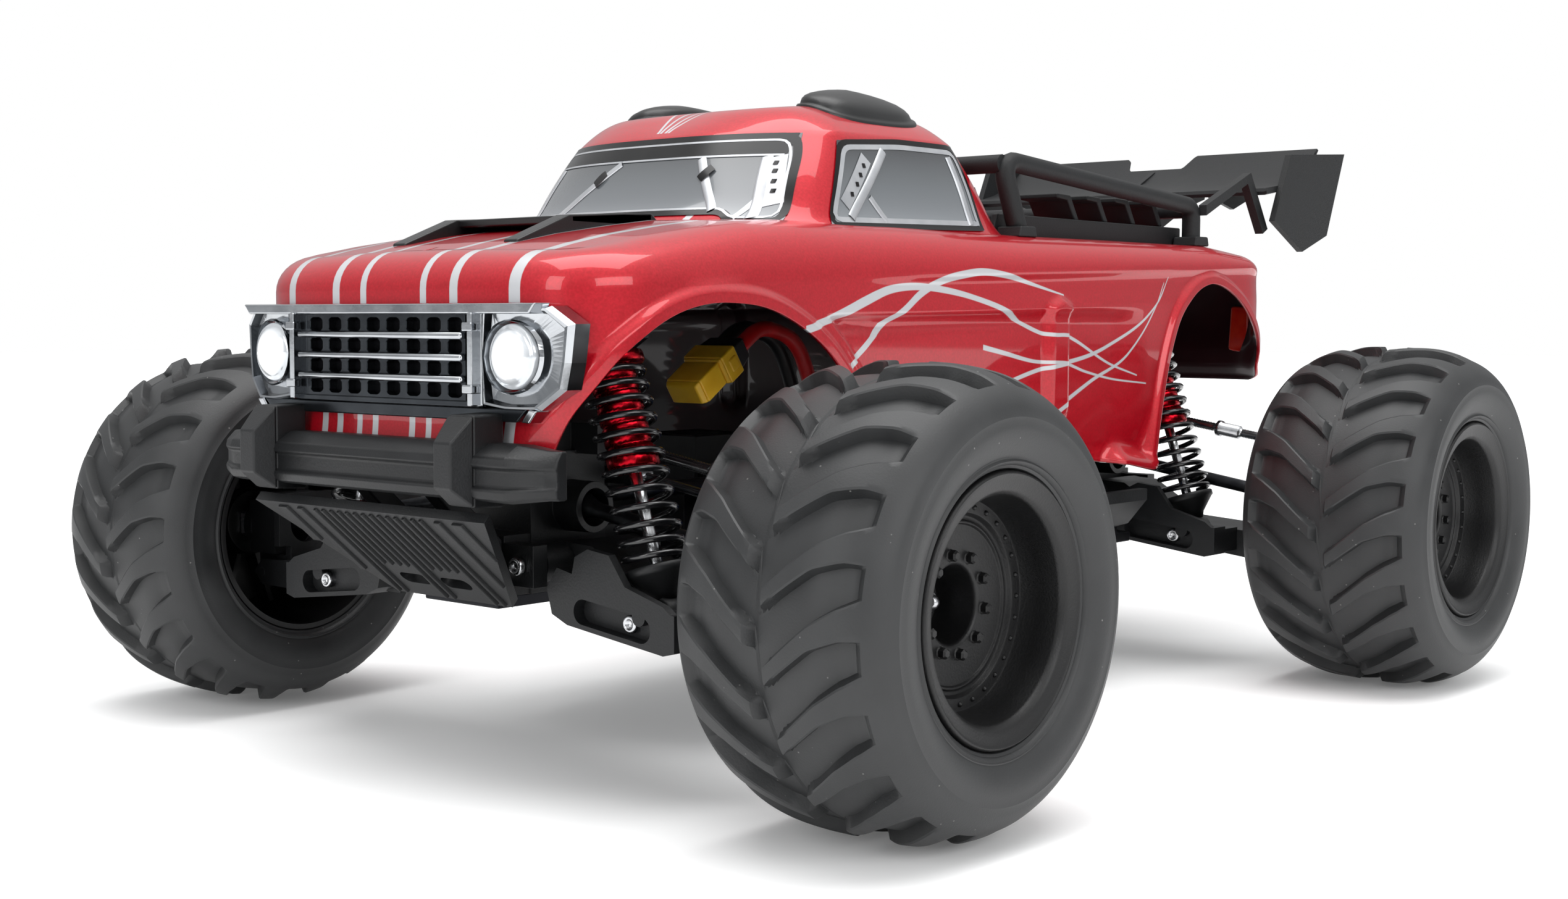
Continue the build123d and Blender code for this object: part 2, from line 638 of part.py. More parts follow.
def roll_cage():
    """Bed tray with the hoop behind the cab, two sloping tubes and a rear bar."""
    tube_r = 3.2
    with BuildPart() as part:
        block(-126, -4, -58, 58, 160, 163)
        block(-122, -6, -54, 54, 158.6, 160.5)
        for x in range(-112, -10, 20):
            block(x, x + 9, -48, 48, 150, 170, Mode.SUBTRACT)
        for side in (1, -1):
            y = side * 60.5
            rod((-4, y, 160.5), (5, y, 183), tube_r)
            rod((5, y, 183), (-125, y, 172.5), tube_r)
            rod((-125, y, 172.5), (-125, y, 160.5), tube_r)
            block(-129, -2, min(side * 57, side * 64), max(side * 57, side * 64), 159, 162.5)
            for corner in ((5, y, 183), (-125, y, 172.5)):
                with Locations(corner):
                    Sphere(tube_r)
        rod((-125, -60.5, 172.5), (-125, 60.5, 172.5), tube_r)
        rod((5, -60.5, 183), (5, 60.5, 183), tube_r)
    return part.part


def rear_wing():
    """Tail wing on two struts, with its end plates and ribs."""
    plane = [(-168, 178.5), (-168, 181), (-186, 184.5), (-200, 190), (-211, 199), (-213, 197.5), (-202, 187.5),
             (-187, 181.8)]
    plate = [(-183.5, 195), (-169.5, 167.5), (-195.5, 156), (-218.5, 163.5), (-233.5, 198)]
    with BuildPart() as part:
        slab_y(-70, 70, plane)
        block(-215, -205, -14, 14, 193, 201, Mode.SUBTRACT)
        for y in (-72, 69.6):
            slab_y(y, y + 2.4, plate)
        for y in (-46, -23, 21, 44):
            slab_y(y, y + 2, [(-168, 178.5), (-187, 174), (-205, 180), (-211, 197.5), (-187, 182)])
        for y in (-23, 21):
            slab_y(y, y + 2, [(-148, 157.5), (-134, 159.5), (-150, 172), (-170, 180), (-190, 176), (-172, 168)])
            slab_y(y - 3, y + 5, [(-150, 155.8), (-134, 158.1), (-134, 160), (-150, 160)])
    return part.part


def roof_trim():
    """Hood scoop and the two roof pods, moulded in black."""
    roof = cab_block(0)
    with BuildPart() as part:
        slab_y(-27, 27, [(193, 151.8), (178, 158.5), (140, 160.8), (136, 159.6), (150, 158.2), (150, 151),
                         (157, 151)])
        slab_y(-24, 24, [(195, 149), (176, 157), (156, 157), (156, 149)], Mode.SUBTRACT)
        for side in (1, -1):
            y = side * 38.4
            slab_y(y - 11, y + 11, [(79, 185), (79, 196.8), (74, 199.2), (62, 202), (52, 201.6), (36, 198.9),
                                    (29.5, 196.3), (29.5, 185)])
        add(roof, mode=Mode.SUBTRACT)
    return part.part


# Writing the parts -------------------------------------------------------------

def write_chassis():
    save(chassis_plate(), "chassis_plate")
    save(gear_housings(), "gear_housings")
    save(shock_towers(), "shock_towers")
    save(front_bumper(), "front_bumper")
    save(skid_plates(), "skid_plates")
    save(battery_pack(), "battery_pack")
    save(battery_lead(), "battery_lead")
    save(speed_controller(), "speed_controller")
    save(drive_motor(), "drive_motor")
    save(steering_servo(), "steering_servo")
    save(centre_shaft(), "centre_shaft")
    save(pinion_gear(), "pinion_gear")


def write_shell():
    save(body_shell(), "body_shell")
    save(window_panels(), "window_panels")
    save(grille_surround(), "grille_surround")
    save(headlight_lenses(), "headlight_lenses")
    save(roll_cage(), "roll_cage")
    save(rear_wing(), "rear_wing")
    save(roof_trim(), "roof_trim")


def write_pair(left, name):
    """Write a left-hand piece and its mirror image."""
    save(left, f"{name}_left")
    save(left.mirror(Plane.XZ), f"{name}_right")


def write_corners():
    save(steering_link(), "steering_link")
    write_pair(tie_rod(), "tie_rod")
    write_pair(steering_knuckle(), "steering_knuckle")
    write_pair(front_carrier(), "hub_carrier_front")
    write_pair(rear_carrier(), "hub_carrier_rear")
    for end, axle in (("front", FRONT_AXLE_X), ("rear", REAR_AXLE_X)):
        write_pair(lower_arm(axle), f"lower_arm_{end}")
        write_pair(upper_link(axle), f"upper_link_{end}")
        write_pair(drive_shaft(axle), f"drive_shaft_{end}")
        write_pair(tyre(axle), f"tyre_{end}")
        write_pair(rim(axle), f"rim_{end}")
        write_pair(shock_body(axle), f"shock_body_{end}")
        write_pair(shock_rod(axle), f"shock_rod_{end}")
        write_pair(spring(axle), f"spring_{end}")


write_chassis()
write_shell()
write_corners()
shock_run = Vector(0, *SHOCK_BOTTOM) - Vector(0, *SHOCK_TOP)
print("shock leans", round(degrees(atan2(shock_run.Y, -shock_run.Z)), 2), "degrees, length", round(shock_run.length, 2))
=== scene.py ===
# %% [markdown]
# # A radio-controlled pickup truck
# The CAD model gives every joint and every mounting place. This file dresses it: a painted
# polycarbonate shell, chevron tyres, plated grille, moulded nylon and red anodised shocks.
# Sizes are in millimetres until they reach a mesh, and the frame is the CAD's own: +X forward,
# +Y the truck's left, +Z up, ground at zero.

# %% Load the frame
import math

import bmesh
import bpy
import numpy as np
from mathutils import Matrix, Vector
from mathutils.bvhtree import BVHTree


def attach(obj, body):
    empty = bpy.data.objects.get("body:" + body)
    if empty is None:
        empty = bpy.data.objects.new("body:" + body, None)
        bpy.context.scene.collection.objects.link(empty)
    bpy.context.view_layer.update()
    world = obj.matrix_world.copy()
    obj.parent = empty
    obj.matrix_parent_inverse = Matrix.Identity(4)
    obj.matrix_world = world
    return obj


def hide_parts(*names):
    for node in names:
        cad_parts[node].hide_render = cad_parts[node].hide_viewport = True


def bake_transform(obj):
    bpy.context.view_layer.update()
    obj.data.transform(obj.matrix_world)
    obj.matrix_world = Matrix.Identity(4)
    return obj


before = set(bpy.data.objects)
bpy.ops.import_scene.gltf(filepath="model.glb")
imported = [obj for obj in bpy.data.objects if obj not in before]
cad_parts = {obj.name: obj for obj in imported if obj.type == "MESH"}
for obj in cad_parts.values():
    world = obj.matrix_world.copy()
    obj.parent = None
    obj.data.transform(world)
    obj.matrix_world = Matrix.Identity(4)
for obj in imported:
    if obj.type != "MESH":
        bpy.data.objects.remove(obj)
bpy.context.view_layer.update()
MM = 0.001
FRONT_X, REAR_X, AXLE_Z = 163.0, -130.0, 60.0
CORNERS = [(end, side, axle, sign) for end, axle in (("front", FRONT_X), ("rear", REAR_X))
           for side, sign in (("left", 1), ("right", -1))]

# %% [markdown]
# ## Camera, floor and studio light
# The truck stands on a pale sweep in a white studio. Large soft lights above and beside it draw the
# long highlights on the paint. The camera is low and close, near the front left wheel, so the
# wheels look big. The sweep is one flat sheet, because the room is not part of the truck.

# %% Camera
SENSOR_MM = 36.0
camera_data = bpy.data.cameras.new("studio_camera")
camera_data.sensor_width = SENSOR_MM
camera_data.lens = 45.44
camera_data.shift_x, camera_data.shift_y = 0.0681, 0.0027
camera_data.clip_start = 0.01
camera = bpy.data.objects.new("studio_camera", camera_data)
camera.location = (0.5645, 0.4312, 0.1311)
camera.rotation_euler = (math.radians(90 - 3.99), 0, math.radians(132.74))
bpy.context.scene.collection.objects.link(camera)
bpy.context.scene.camera = camera
bpy.context.scene.view_settings.view_transform = "Standard"


# %% Colour and node helpers
def srgb(code):
    """Linear RGBA from a hex colour."""
    parts = [int(code[i:i + 2], 16) / 255 for i in (1, 3, 5)]
    return tuple(p / 12.92 if p <= 0.04045 else ((p + 0.055) / 1.055) ** 2.4 for p in parts) + (1.0,)


def node(tree, kind, links=(), **settings):
    """Add one node. Settings name attributes or input sockets; links are (input, output socket)."""
    made = tree.nodes.new(kind)
    for key, value in settings.items():
        if key in made.inputs.keys():
            made.inputs[key].default_value = value
        elif key.startswith("in") and key[2:].isdigit():
            made.inputs[int(key[2:])].default_value = value
        else:
            setattr(made, key, value)
    for socket, source in links:
        tree.links.new(source, made.inputs[socket])
    return made


def material(name, colour, roughness, **shader):
    """A principled material by the name of its real stuff and process; returns it, its tree and shader."""
    made = bpy.data.materials.new(name)
    made.use_nodes = True
    tree = made.node_tree
    surface = tree.nodes["Principled BSDF"]
    surface.inputs["Base Color"].default_value = srgb(colour)
    surface.inputs["Roughness"].default_value = roughness
    for key, value in shader.items():
        surface.inputs[key.replace("_", " ")].default_value = value
    return made, tree, surface


def mottle(tree, surface, colours, size_mm, bump=0.0, bump_mm=None, rough=None):
    """Vary colour between two hex values over size_mm, with an optional fine bump and roughness range."""
    place = node(tree, "ShaderNodeTexCoord").outputs["Object"]
    cloud = node(tree, "ShaderNodeTexNoise", [("Vector", place)], Scale=1000 / size_mm, Detail=6.0)
    ramp = node(tree, "ShaderNodeValToRGB", [("Fac", cloud.outputs["Fac"])])
    ramp.color_ramp.elements[0].position, ramp.color_ramp.elements[1].position = 0.3, 0.7
    ramp.color_ramp.elements[0].color, ramp.color_ramp.elements[1].color = map(srgb, colours)
    tree.links.new(ramp.outputs["Color"], surface.inputs["Base Color"])
    if rough:
        spread = node(tree, "ShaderNodeMapRange", [("Value", cloud.outputs["Fac"])])
        spread.inputs["To Min"].default_value, spread.inputs["To Max"].default_value = rough
        tree.links.new(spread.outputs["Result"], surface.inputs["Roughness"])
    if bump:
        grain = node(tree, "ShaderNodeTexNoise", [("Vector", place)], Scale=1000 / (bump_mm or 0.5),
                     Detail=3.0)
        relief = node(tree, "ShaderNodeBump", [("Height", grain.outputs["Fac"])], Strength=bump,
                      Distance=0.0002)
        tree.links.new(relief.outputs["Normal"], surface.inputs["Normal"])
    return place


# %% Floor and lights
floor_mesh = bpy.data.meshes.new("studio_floor")
floor_mesh.from_pydata([(-6, -6, 0), (6, -6, 0), (6, 6, 0), (-6, 6, 0)], [], [(0, 1, 2, 3)])
floor = bpy.data.objects.new("studio_floor", floor_mesh)
bpy.context.scene.collection.objects.link(floor)
floor_paper, tree, surface = material("matt_white_paper_sweep", "#fafafa", 0.9)
# The sweep glows as painted light: weakly near the truck and more strongly far from it, so the floor brightens
# towards the horizon.
surface.inputs["Emission Color"].default_value = srgb("#ffffff")
away = node(tree, "ShaderNodeVectorMath", [(0, node(tree, "ShaderNodeTexCoord").outputs["Object"])],
            operation="LENGTH")
painted_glow_far = node(tree, "ShaderNodeMapRange", [("Value", away.outputs["Value"])],
                  interpolation_type="SMOOTHSTEP")
painted_glow_far.inputs["From Min"].default_value, painted_glow_far.inputs["From Max"].default_value = 0.5, 2.5
painted_glow_far.inputs["To Min"].default_value, painted_glow_far.inputs["To Max"].default_value = 0.1, 0.8
tree.links.new(painted_glow_far.outputs["Result"], surface.inputs["Emission Strength"])
floor_mesh.materials.append(floor_paper)

world = bpy.data.worlds.new("white_studio")
bpy.context.scene.world = world
world.use_nodes = True
sky = world.node_tree
upward = node(sky, "ShaderNodeSeparateXYZ", [("Vector",
                                              node(sky, "ShaderNodeTexCoord").outputs["Generated"])])
dome = node(sky, "ShaderNodeValToRGB", [("Fac", upward.outputs["Z"])])
dome.color_ramp.elements[0].position, dome.color_ramp.elements[1].position = 0.0, 0.85
dome.color_ramp.elements[0].color, dome.color_ramp.elements[1].color = srgb("#8c8f92"), srgb("#ffffff")
seen = node(sky, "ShaderNodeMix", [("Factor", node(sky, "ShaderNodeLightPath").outputs["Is Camera Ray"]),
                                   (6, dome.outputs["Color"])], data_type="RGBA", in7=(1, 1, 1, 1))
sky.links.new(seen.outputs[2], sky.nodes["Background"].inputs["Color"])
sky.nodes["Background"].inputs["Strength"].default_value = 1.0


def soft_light(name, place, size, watts):
    """A rectangular softbox that faces the truck."""
    data = bpy.data.lights.new(name, "AREA")
    data.shape, data.size, data.size_y, data.energy = "RECTANGLE", size[0], size[1], watts
    lamp = bpy.data.objects.new(name, data)
    lamp.location = place
    lamp.rotation_euler = (Vector((0, 0, 0.1)) - Vector(place)).to_track_quat("-Z", "Y").to_euler()
    bpy.context.scene.collection.objects.link(lamp)


soft_light("overhead_softbox", (0.1, 0.1, 1.3), (1.4, 1.0), 17)
soft_light("left_softbox", (0.3, 1.4, 0.7), (1.2, 0.5), 7)
soft_light("front_softbox", (1.5, 0.1, 0.6), (0.5, 0.9), 5)
print("camera and studio ready")


# %% [markdown]
# ## Mesh helpers
# Nearly every piece of this truck was turned, extruded, or moulded as a smooth skin. So four
# helpers are enough: a grid of points, a lathe, an extruded outline with softened edges, and a
# round bar along a path. Each takes millimetres.

# %% Mesh helpers
def publish(name, mesh, finish, body, replaced=(), smooth=True, bevel=0.0):
    """Link a mesh as a named piece that rides on a body and wears a material."""
    piece = bpy.data.objects.new(name, mesh)
    bpy.context.scene.collection.objects.link(piece)
    for stuff in finish if isinstance(finish, (list, tuple)) else [finish]:
        mesh.materials.append(stuff)
    if smooth:
        mesh.polygons.foreach_set("use_smooth", [True] * len(mesh.polygons))
    if bevel:
        soft = piece.modifiers.new("softened_edges", "BEVEL")
        soft.width, soft.segments, soft.limit_method = bevel * MM, 2, "ANGLE"
        soft.angle_limit = math.radians(35)
        soft.harden_normals = True
    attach(piece, body)
    if replaced:
        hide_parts(*replaced)
    return piece


def from_arrays(name, points, faces):
    """Mesh from millimetre points; faces is a list of index tuples."""
    mesh = bpy.data.meshes.new(name)
    mesh.from_pydata((np.asarray(points, float) * MM).tolist(), [], [tuple(map(int, f)) for f in faces])
    mesh.validate()
    return mesh


def grid_faces(rows, columns, wrap=False, start=0, flip=False):
    """Quads of a rows x columns grid of points, optionally joined round along its columns."""
    faces = []
    for row in range(rows - 1):
        for column in range(columns if wrap else columns - 1):
            beside = (column + 1) % columns
            quad = (start + row * columns + column, start + row * columns + beside,
                    start + (row + 1) * columns + beside, start + (row + 1) * columns + column)
            faces.append(quad[::-1] if flip else quad)
    return faces


def spline(points, count=None, step=None, closed=False):
    """Even samples on a smooth curve through the points (centripetal Catmull-Rom)."""
    way = np.asarray(points, float)
    ends = (way[-1:], way[:2]) if closed else (2 * way[:1] - way[1:2], 2 * way[-1:] - way[-2:-1])
    way = np.vstack([ends[0], way, ends[1]])
    runs = []
    for a, b, c, d in zip(way, way[1:], way[2:], way[3:]):
        t = np.linspace(0, 1, 24, endpoint=False)[:, None]
        gap = max(np.linalg.norm(c - b), 1e-9)
        m1 = (c - a) / (np.linalg.norm(b - a) + gap) * gap
        m2 = (d - b) / (np.linalg.norm(d - c) + gap) * gap
        runs.append((2 * t**3 - 3 * t**2 + 1) * b + (t**3 - 2 * t**2 + t) * m1
                    + (3 * t**2 - 2 * t**3) * c + (t**3 - t**2) * m2)
    line = np.vstack(runs + [way[-2:-1]])
    along = np.concatenate([[0], np.cumsum(np.linalg.norm(np.diff(line, axis=0), axis=1))])
    count = count or int(along[-1] / step) + 2
    wanted = np.linspace(0, along[-1], count)
    return np.stack([np.interp(wanted, along, line[:, i]) for i in range(line.shape[1])], 1)


def lathe_points(profile, axle, sign=1, turns=96, centre_z=AXLE_Z):
    """Points of a (y, radius) profile spun about a wheel's axle."""
    angle = np.linspace(0, 2 * np.pi, turns, endpoint=False)
    profile = np.asarray(profile, float)
    y = np.repeat(profile[:, :1] * sign, turns, 1)
    x = axle + profile[:, 1:2] * np.sin(angle)
    z = centre_z + profile[:, 1:2] * np.cos(angle)
    return np.stack([x, y, z], 2).reshape(-1, 3)


def rounded(profile, radius=0.6, steps=3):
    """A closed or open profile with each corner cut back to a small curve."""
    profile = np.asarray(profile, float)
    out = [profile[0]]
    for a, b, c in zip(profile, profile[1:], profile[2:]):
        before, after = a - b, c - b
        reach = min(radius, 0.45 * np.linalg.norm(before), 0.45 * np.linalg.norm(after))
        first = b + before / max(np.linalg.norm(before), 1e-9) * reach
        last = b + after / max(np.linalg.norm(after), 1e-9) * reach
        for t in np.linspace(0, 1, steps):
            out.append((1 - t)**2 * first + 2 * t * (1 - t) * b + t**2 * last)
    out.append(profile[-1])
    return np.array(out)


def prism_points(outline, plane, low, high):
    """Points and faces of an outline extruded along X, Y or Z from low to high."""
    order = {"x": lambda a, b, c: (c, a, b), "y": lambda a, b, c: (a, c, b), "z": lambda a, b,
             c: (a, b, c)}[plane]
    count = len(outline)
    points = [order(a, b, c) for c in (low, high) for a, b in outline]
    faces = [tuple(range(count))[::-1], tuple(range(count, 2 * count))]
    faces += [(i, (i + 1) % count, count + (i + 1) % count, count + i) for i in range(count)]
    return points, faces


def sound(mesh):
    """The mesh with its normals facing out."""
    check = bmesh.new()
    check.from_mesh(mesh)
    bmesh.ops.recalc_face_normals(check, faces=check.faces)
    check.to_mesh(mesh)
    check.free()
    return mesh


def prism(name, outline, plane, low, high, finish, body, replaced=(), bevel=0.5):
    """An extruded outline as a piece with softened edges."""
    mesh = sound(from_arrays(name, *prism_points(outline, plane, low, high)))
    return publish(name, mesh, finish, body, replaced, smooth=True, bevel=bevel)


def merge(parts):
    """Join (points, faces) pairs into one pair."""
    points, faces = [], []
    for some_points, some_faces in parts:
        start = len(points)
        points += [tuple(p) for p in some_points]
        faces += [tuple(start + i for i in f) for f in some_faces]
    return points, faces


def bar(name, path, radius, finish, body, replaced=(), cyclic=False, resolution=8):
    """A round bar along millimetre points, as a curve turned into a mesh."""
    curve = bpy.data.curves.new(name, "CURVE")
    curve.dimensions = "3D"
    curve.bevel_depth, curve.bevel_resolution, curve.use_fill_caps = radius * MM, resolution // 2, True
    line = curve.splines.new("POLY")
    line.points.add(len(path) - 1)
    for point, place in zip(line.points, path):
        point.co = (*(Vector(place) * MM), 1)
    line.use_cyclic_u = cyclic
    holder = bpy.data.objects.new(name + "_line", curve)
    bpy.context.scene.collection.objects.link(holder)
    mesh = bpy.data.meshes.new_from_object(holder.evaluated_get(bpy.context.evaluated_depsgraph_get()))
    bpy.data.objects.remove(holder)
    mesh.materials.clear()
    return publish(name, mesh, finish, body, replaced)


def mirrored(points):
    """The same points on the truck's other side."""
    points = np.array(points, float)
    points[:, 1] *= -1
    return points

# %% [markdown]
# ## Tyres
# The real tyre is moulded in soft black rubber. Its tread has twenty curved bars on each side of
# the centre, half a pitch apart. Each bar starts narrow near the middle, points its tip in the
# rolling direction, and grows wider until it runs flush into the smooth sidewall, so the gaps
# between the bars are pockets with a squared end. It could be a lathe with separate bars on it,
# but then the bars would have no root. One grid is better: its columns follow the edges of the
# bars, so the walls stay crisp with few points, and the pockets are pushed in along the normal.

# %% Rubber
rubber, tree, surface = material("moulded_rubber", "#232425", 0.5, Specular_IOR_Level=0.5)
place = mottle(tree, surface, ("#1f2021", "#28292a"), 14, 0.25, 0.5, (0.43, 0.58))
dust = node(tree, "ShaderNodeTexVoronoi", [("Vector", place)], Scale=1000 / 5.0)
speck = node(tree, "ShaderNodeMapRange", [("Value", dust.outputs["Distance"])])
speck.inputs["From Min"].default_value, speck.inputs["From Max"].default_value = 0.035, 0.06
speck.inputs["To Min"].default_value, speck.inputs["To Max"].default_value = 0.55, 0.0
stained = node(tree, "ShaderNodeMix", [("Factor", speck.outputs["Result"])], data_type="RGBA")
tree.links.new(surface.inputs["Base Color"].links[0].from_socket, stained.inputs[6])
stained.inputs[7].default_value = srgb("#8d8c89")
tree.links.new(stained.outputs[2], surface.inputs["Base Color"])

# %% Tread pattern
TYRE_MID_Y = 138.25
LUGS, LUG_COLUMNS = 20, 24
PITCH = 2 * math.pi / LUGS
POCKET_DEPTH = 3.3
TYRE_SIDE = [(0, 60), (9, 59.9), (16, 59.2), (21.5, 57.6), (26, 55.4), (29.2, 53.0), (31.4, 50.2),
             (32.4, 47.2),
             (32.75, 44.5), (32.3, 41.5), (31.3, 38.8), (30.3, 37.2)]
BEAD_END = [(30.3, 36.9), (30.8, 36.3), (30.4, 35.7), (29.6, 35.3), (29.2, 34.6), (28.5, 34.25)]


def smooth_step(value, low, high):
    """0 below low, 1 above high, smooth between."""
    t = np.clip((np.asarray(value, float) - low) / (high - low), 0, 1)
    return t * t * (3 - 2 * t)


def tyre_half(tip_phase):
    """Rows of (y offset, radius, angles) from the tread's centre line to the bead."""
    curve = spline(TYRE_SIDE, step=0.12)
    run = np.concatenate([[0], np.cumsum(np.linalg.norm(np.diff(curve, axis=0), axis=1))])
    pocket_end = np.interp(54.6, curve[::-1, 1], run[::-1])
    steps = np.concatenate([[0, 1.2, 2.0, 2.8], np.linspace(4.2, pocket_end - 1.6, 20),
                            pocket_end + np.array([-0.9, -0.35, 0.25, 1.2]),
                            np.linspace(pocket_end + 2.6, run[-1], 16)])
    ring = smooth_step(-np.abs(steps - np.interp(46.8, curve[::-1, 1], run[::-1])), -0.75, -0.2)
    share = np.arange(LUG_COLUMNS) / LUG_COLUMNS - 0.5
    rows = []
    for step, bump in zip(steps, ring):
        t = step / pocket_end
        half = np.interp(t, [0, 0.1, 0.55, 0.85, 1.0], [0.115, 0.125, 0.155, 0.215, 0.27])
        sweep = np.interp(t, *SWEEP)
        blend = float(smooth_step(step, 1.5, 6)) * float(1 - smooth_step(t, 1.15, 1.7))
        knots = [0, half - 0.03, half, half + 0.04, 0.5]
        warped = np.sign(share) * np.interp(np.abs(share), [0, 3 / 24, 4 / 24, 6 / 24, 0.5], knots)
        place = share + (warped - share) * blend
        height = np.interp(np.abs(place), [half - 0.03, half, half + 0.04], [1, 0.9, 0])
        height = height * float(smooth_step(step, 1.0, 2.6))
        closed = float(smooth_step(step, pocket_end - 1.2, pocket_end + 0.3))
        height = height + (1 - height) * closed
        depth = POCKET_DEPTH * np.interp(t, [0, 0.5, 0.8, 1.0], [1.0, 1.05, 1.15, 0.8])
        y, radius = (np.interp(step, run, curve[:, i]) for i in (0, 1))
        ahead = [np.interp(step + 0.3, run, curve[:, i]) - np.interp(step - 0.3, run, curve[:, i])
                 for i in (0, 1)]
        normal = np.array([-ahead[1], ahead[0]]) / max(np.hypot(*ahead), 1e-9)
        push = -(1 - height) * depth + 0.35 * bump
        angle = tip_phase + (sweep + place) * PITCH
        rows.append((y + normal[0] * push, radius + normal[1] * push, angle))
    flat = tip_phase + (sweep + share) * PITCH
    rows += [(np.full(LUG_COLUMNS, y), np.full(LUG_COLUMNS, r), flat) for y, r in BEAD_END]
    return rows


SWEEP = ([0, 0.3, 0.55, 0.8, 1.0, 1.6], [0, 0.36, 0.66, 0.84, 0.92, 1.0])


def tyre_mesh(name, axle, sign):
    """One whole tyre; the bar tips lead at the bottom of the front face on both sides."""
    outer, inner = tyre_half(0.4), tyre_half(0.4 + PITCH / 2)
    rows = [(-y, r, a) for y, r, a in inner[:0:-1]] + [(y * 1.0, r, a) for y, r, a in outer]
    points = []
    for y, radius, angle in rows:
        whole = (angle[None, :] + np.arange(LUGS)[:, None] * PITCH).ravel()
        y, radius = np.tile(y, LUGS), np.tile(radius, LUGS)
        points.append(np.stack([axle + radius * np.cos(whole), sign * (TYRE_MID_Y + y),
                                AXLE_Z + radius * np.sin(whole)], 1))
    count = LUGS * LUG_COLUMNS
    faces = grid_faces(len(rows), count, wrap=True, flip=sign > 0)
    last = (len(rows) - 1) * count
    join = [(last + i, last + (i + 1) % count, (i + 1) % count, i) for i in range(count)]
    faces += [f[::-1] for f in join] if sign > 0 else join
    mesh = from_arrays(name, np.vstack(points), faces)
    mesh.polygons.foreach_set("use_smooth", [True] * len(mesh.polygons))
    mesh.set_sharp_from_angle(angle=math.radians(33))
    return mesh


for end, side, axle, sign in CORNERS:
    corner = f"{end}_{side}"
    tread = tyre_mesh(f"chevron_tyre_{corner}", axle, sign)
    publish(f"chevron_tyre_{corner}", tread, rubber, f"wheel_{corner}", [f"tyre_{corner}"])
print("tyres:", LUGS, "bars a side,", len(tread.polygons), "faces each")

# %% [markdown]
# ## Wheels
# The wheel is a deep dish moulded in black nylon, with a ring of small rivets, ten hex bolt heads
# and a hole that holds the axle's nut. It is turned work with details repeated about the axle, so
# the dish is a lathe and each bolt is one small form set round in a loop.

# %% Nylon
rim_nylon, tree, surface = material("moulded_black_nylon", "#0b0b0c", 0.4, Specular_IOR_Level=0.4)
mottle(tree, surface, ("#09090a", "#0f0f10"), 20, 0.3, 0.6, (0.36, 0.5))
steel, tree, surface = material("turned_steel", "#b9babd", 0.28, Metallic=1.0)
mottle(tree, surface, ("#a9aaad", "#c6c7ca"), 3, 0.15, 0.3, (0.22, 0.36))

# %% Dish, rivets and bolts
DISH = rounded([(109, 32.4), (109, 34.2), (166.8, 34.2), (168.0, 33.9), (168.5, 33.3), (168.1, 32.7),
                (167.6, 31.2),
                (167.0, 29.2), (165.6, 28.0), (160, 27.2), (154.9, 26.3), (154.9, 22.9), (153.4, 22.3),
                (153.4, 21.2),
                (154.0, 20.9), (154.0, 20.3), (153.3, 20.0), (153.0, 10.4), (152.2, 9.8), (144, 9.4),
                (141, 9.2),
                (141, 0.01), (139, 0.01), (139, 11), (149.5, 12), (150, 29), (146, 31.2), (109, 32.4)], 0.5)


def hex_head(radius, low, high, chamfer=0.5, sides=6):
    """Outline rings of a hex bolt head along y, as (points, faces), centred on the origin."""
    rings = [(radius, low), (radius, high - chamfer), (radius - chamfer, high)]
    angle = np.arange(sides) * 2 * np.pi / sides
    points = [(r * math.sin(a), y, r * math.cos(a)) for r, y in rings for a in angle]
    faces = grid_faces(3, sides, wrap=True) + [tuple(range(2 * sides, 3 * sides)),
                                               tuple(range(sides))[::-1]]
    return points, faces


def round_head(radius, low, high, turns=12, rings=4):
    """A domed rivet head along y."""
    angle = np.arange(turns) * 2 * np.pi / turns
    bend = np.linspace(0, math.pi / 2 * 0.92, rings)
    points = [(radius * math.cos(b) * math.sin(a), low + (high - low) * math.sin(b),
               radius * math.cos(b) * math.cos(a))
              for b in bend for a in angle]
    return points, grid_faces(rings, turns, wrap=True) + [tuple(range((rings - 1) * turns, rings * turns)),
                                                          tuple(range(turns))[::-1]]


def around_axle(part, radius, count, phase=0.0):
    """Copies of a part set round the wheel's axle at a radius."""
    points, faces = part
    copies = []
    for index in range(count):
        turn = phase + index * 2 * math.pi / count
        copies.append(([(x + radius * math.sin(turn), y, z + radius * math.cos(turn)) for x, y,
                        z in points], faces))
    return merge(copies)


def wheel_part(name, parts, axle, sign, finish, corner, replaced=(), sharp=33):
    """Joined parts about an axle, on the left or right wheel."""
    points, faces = merge(parts)
    points = [(axle + x, sign * y, AXLE_Z + z) for x, y, z in points]
    mesh = from_arrays(name, points, [f if sign > 0 else f[::-1] for f in faces])
    mesh.polygons.foreach_set("use_smooth", [True] * len(mesh.polygons))
    mesh.set_sharp_from_angle(angle=math.radians(sharp))
    return publish(name, mesh, finish, f"wheel_{corner}", replaced)


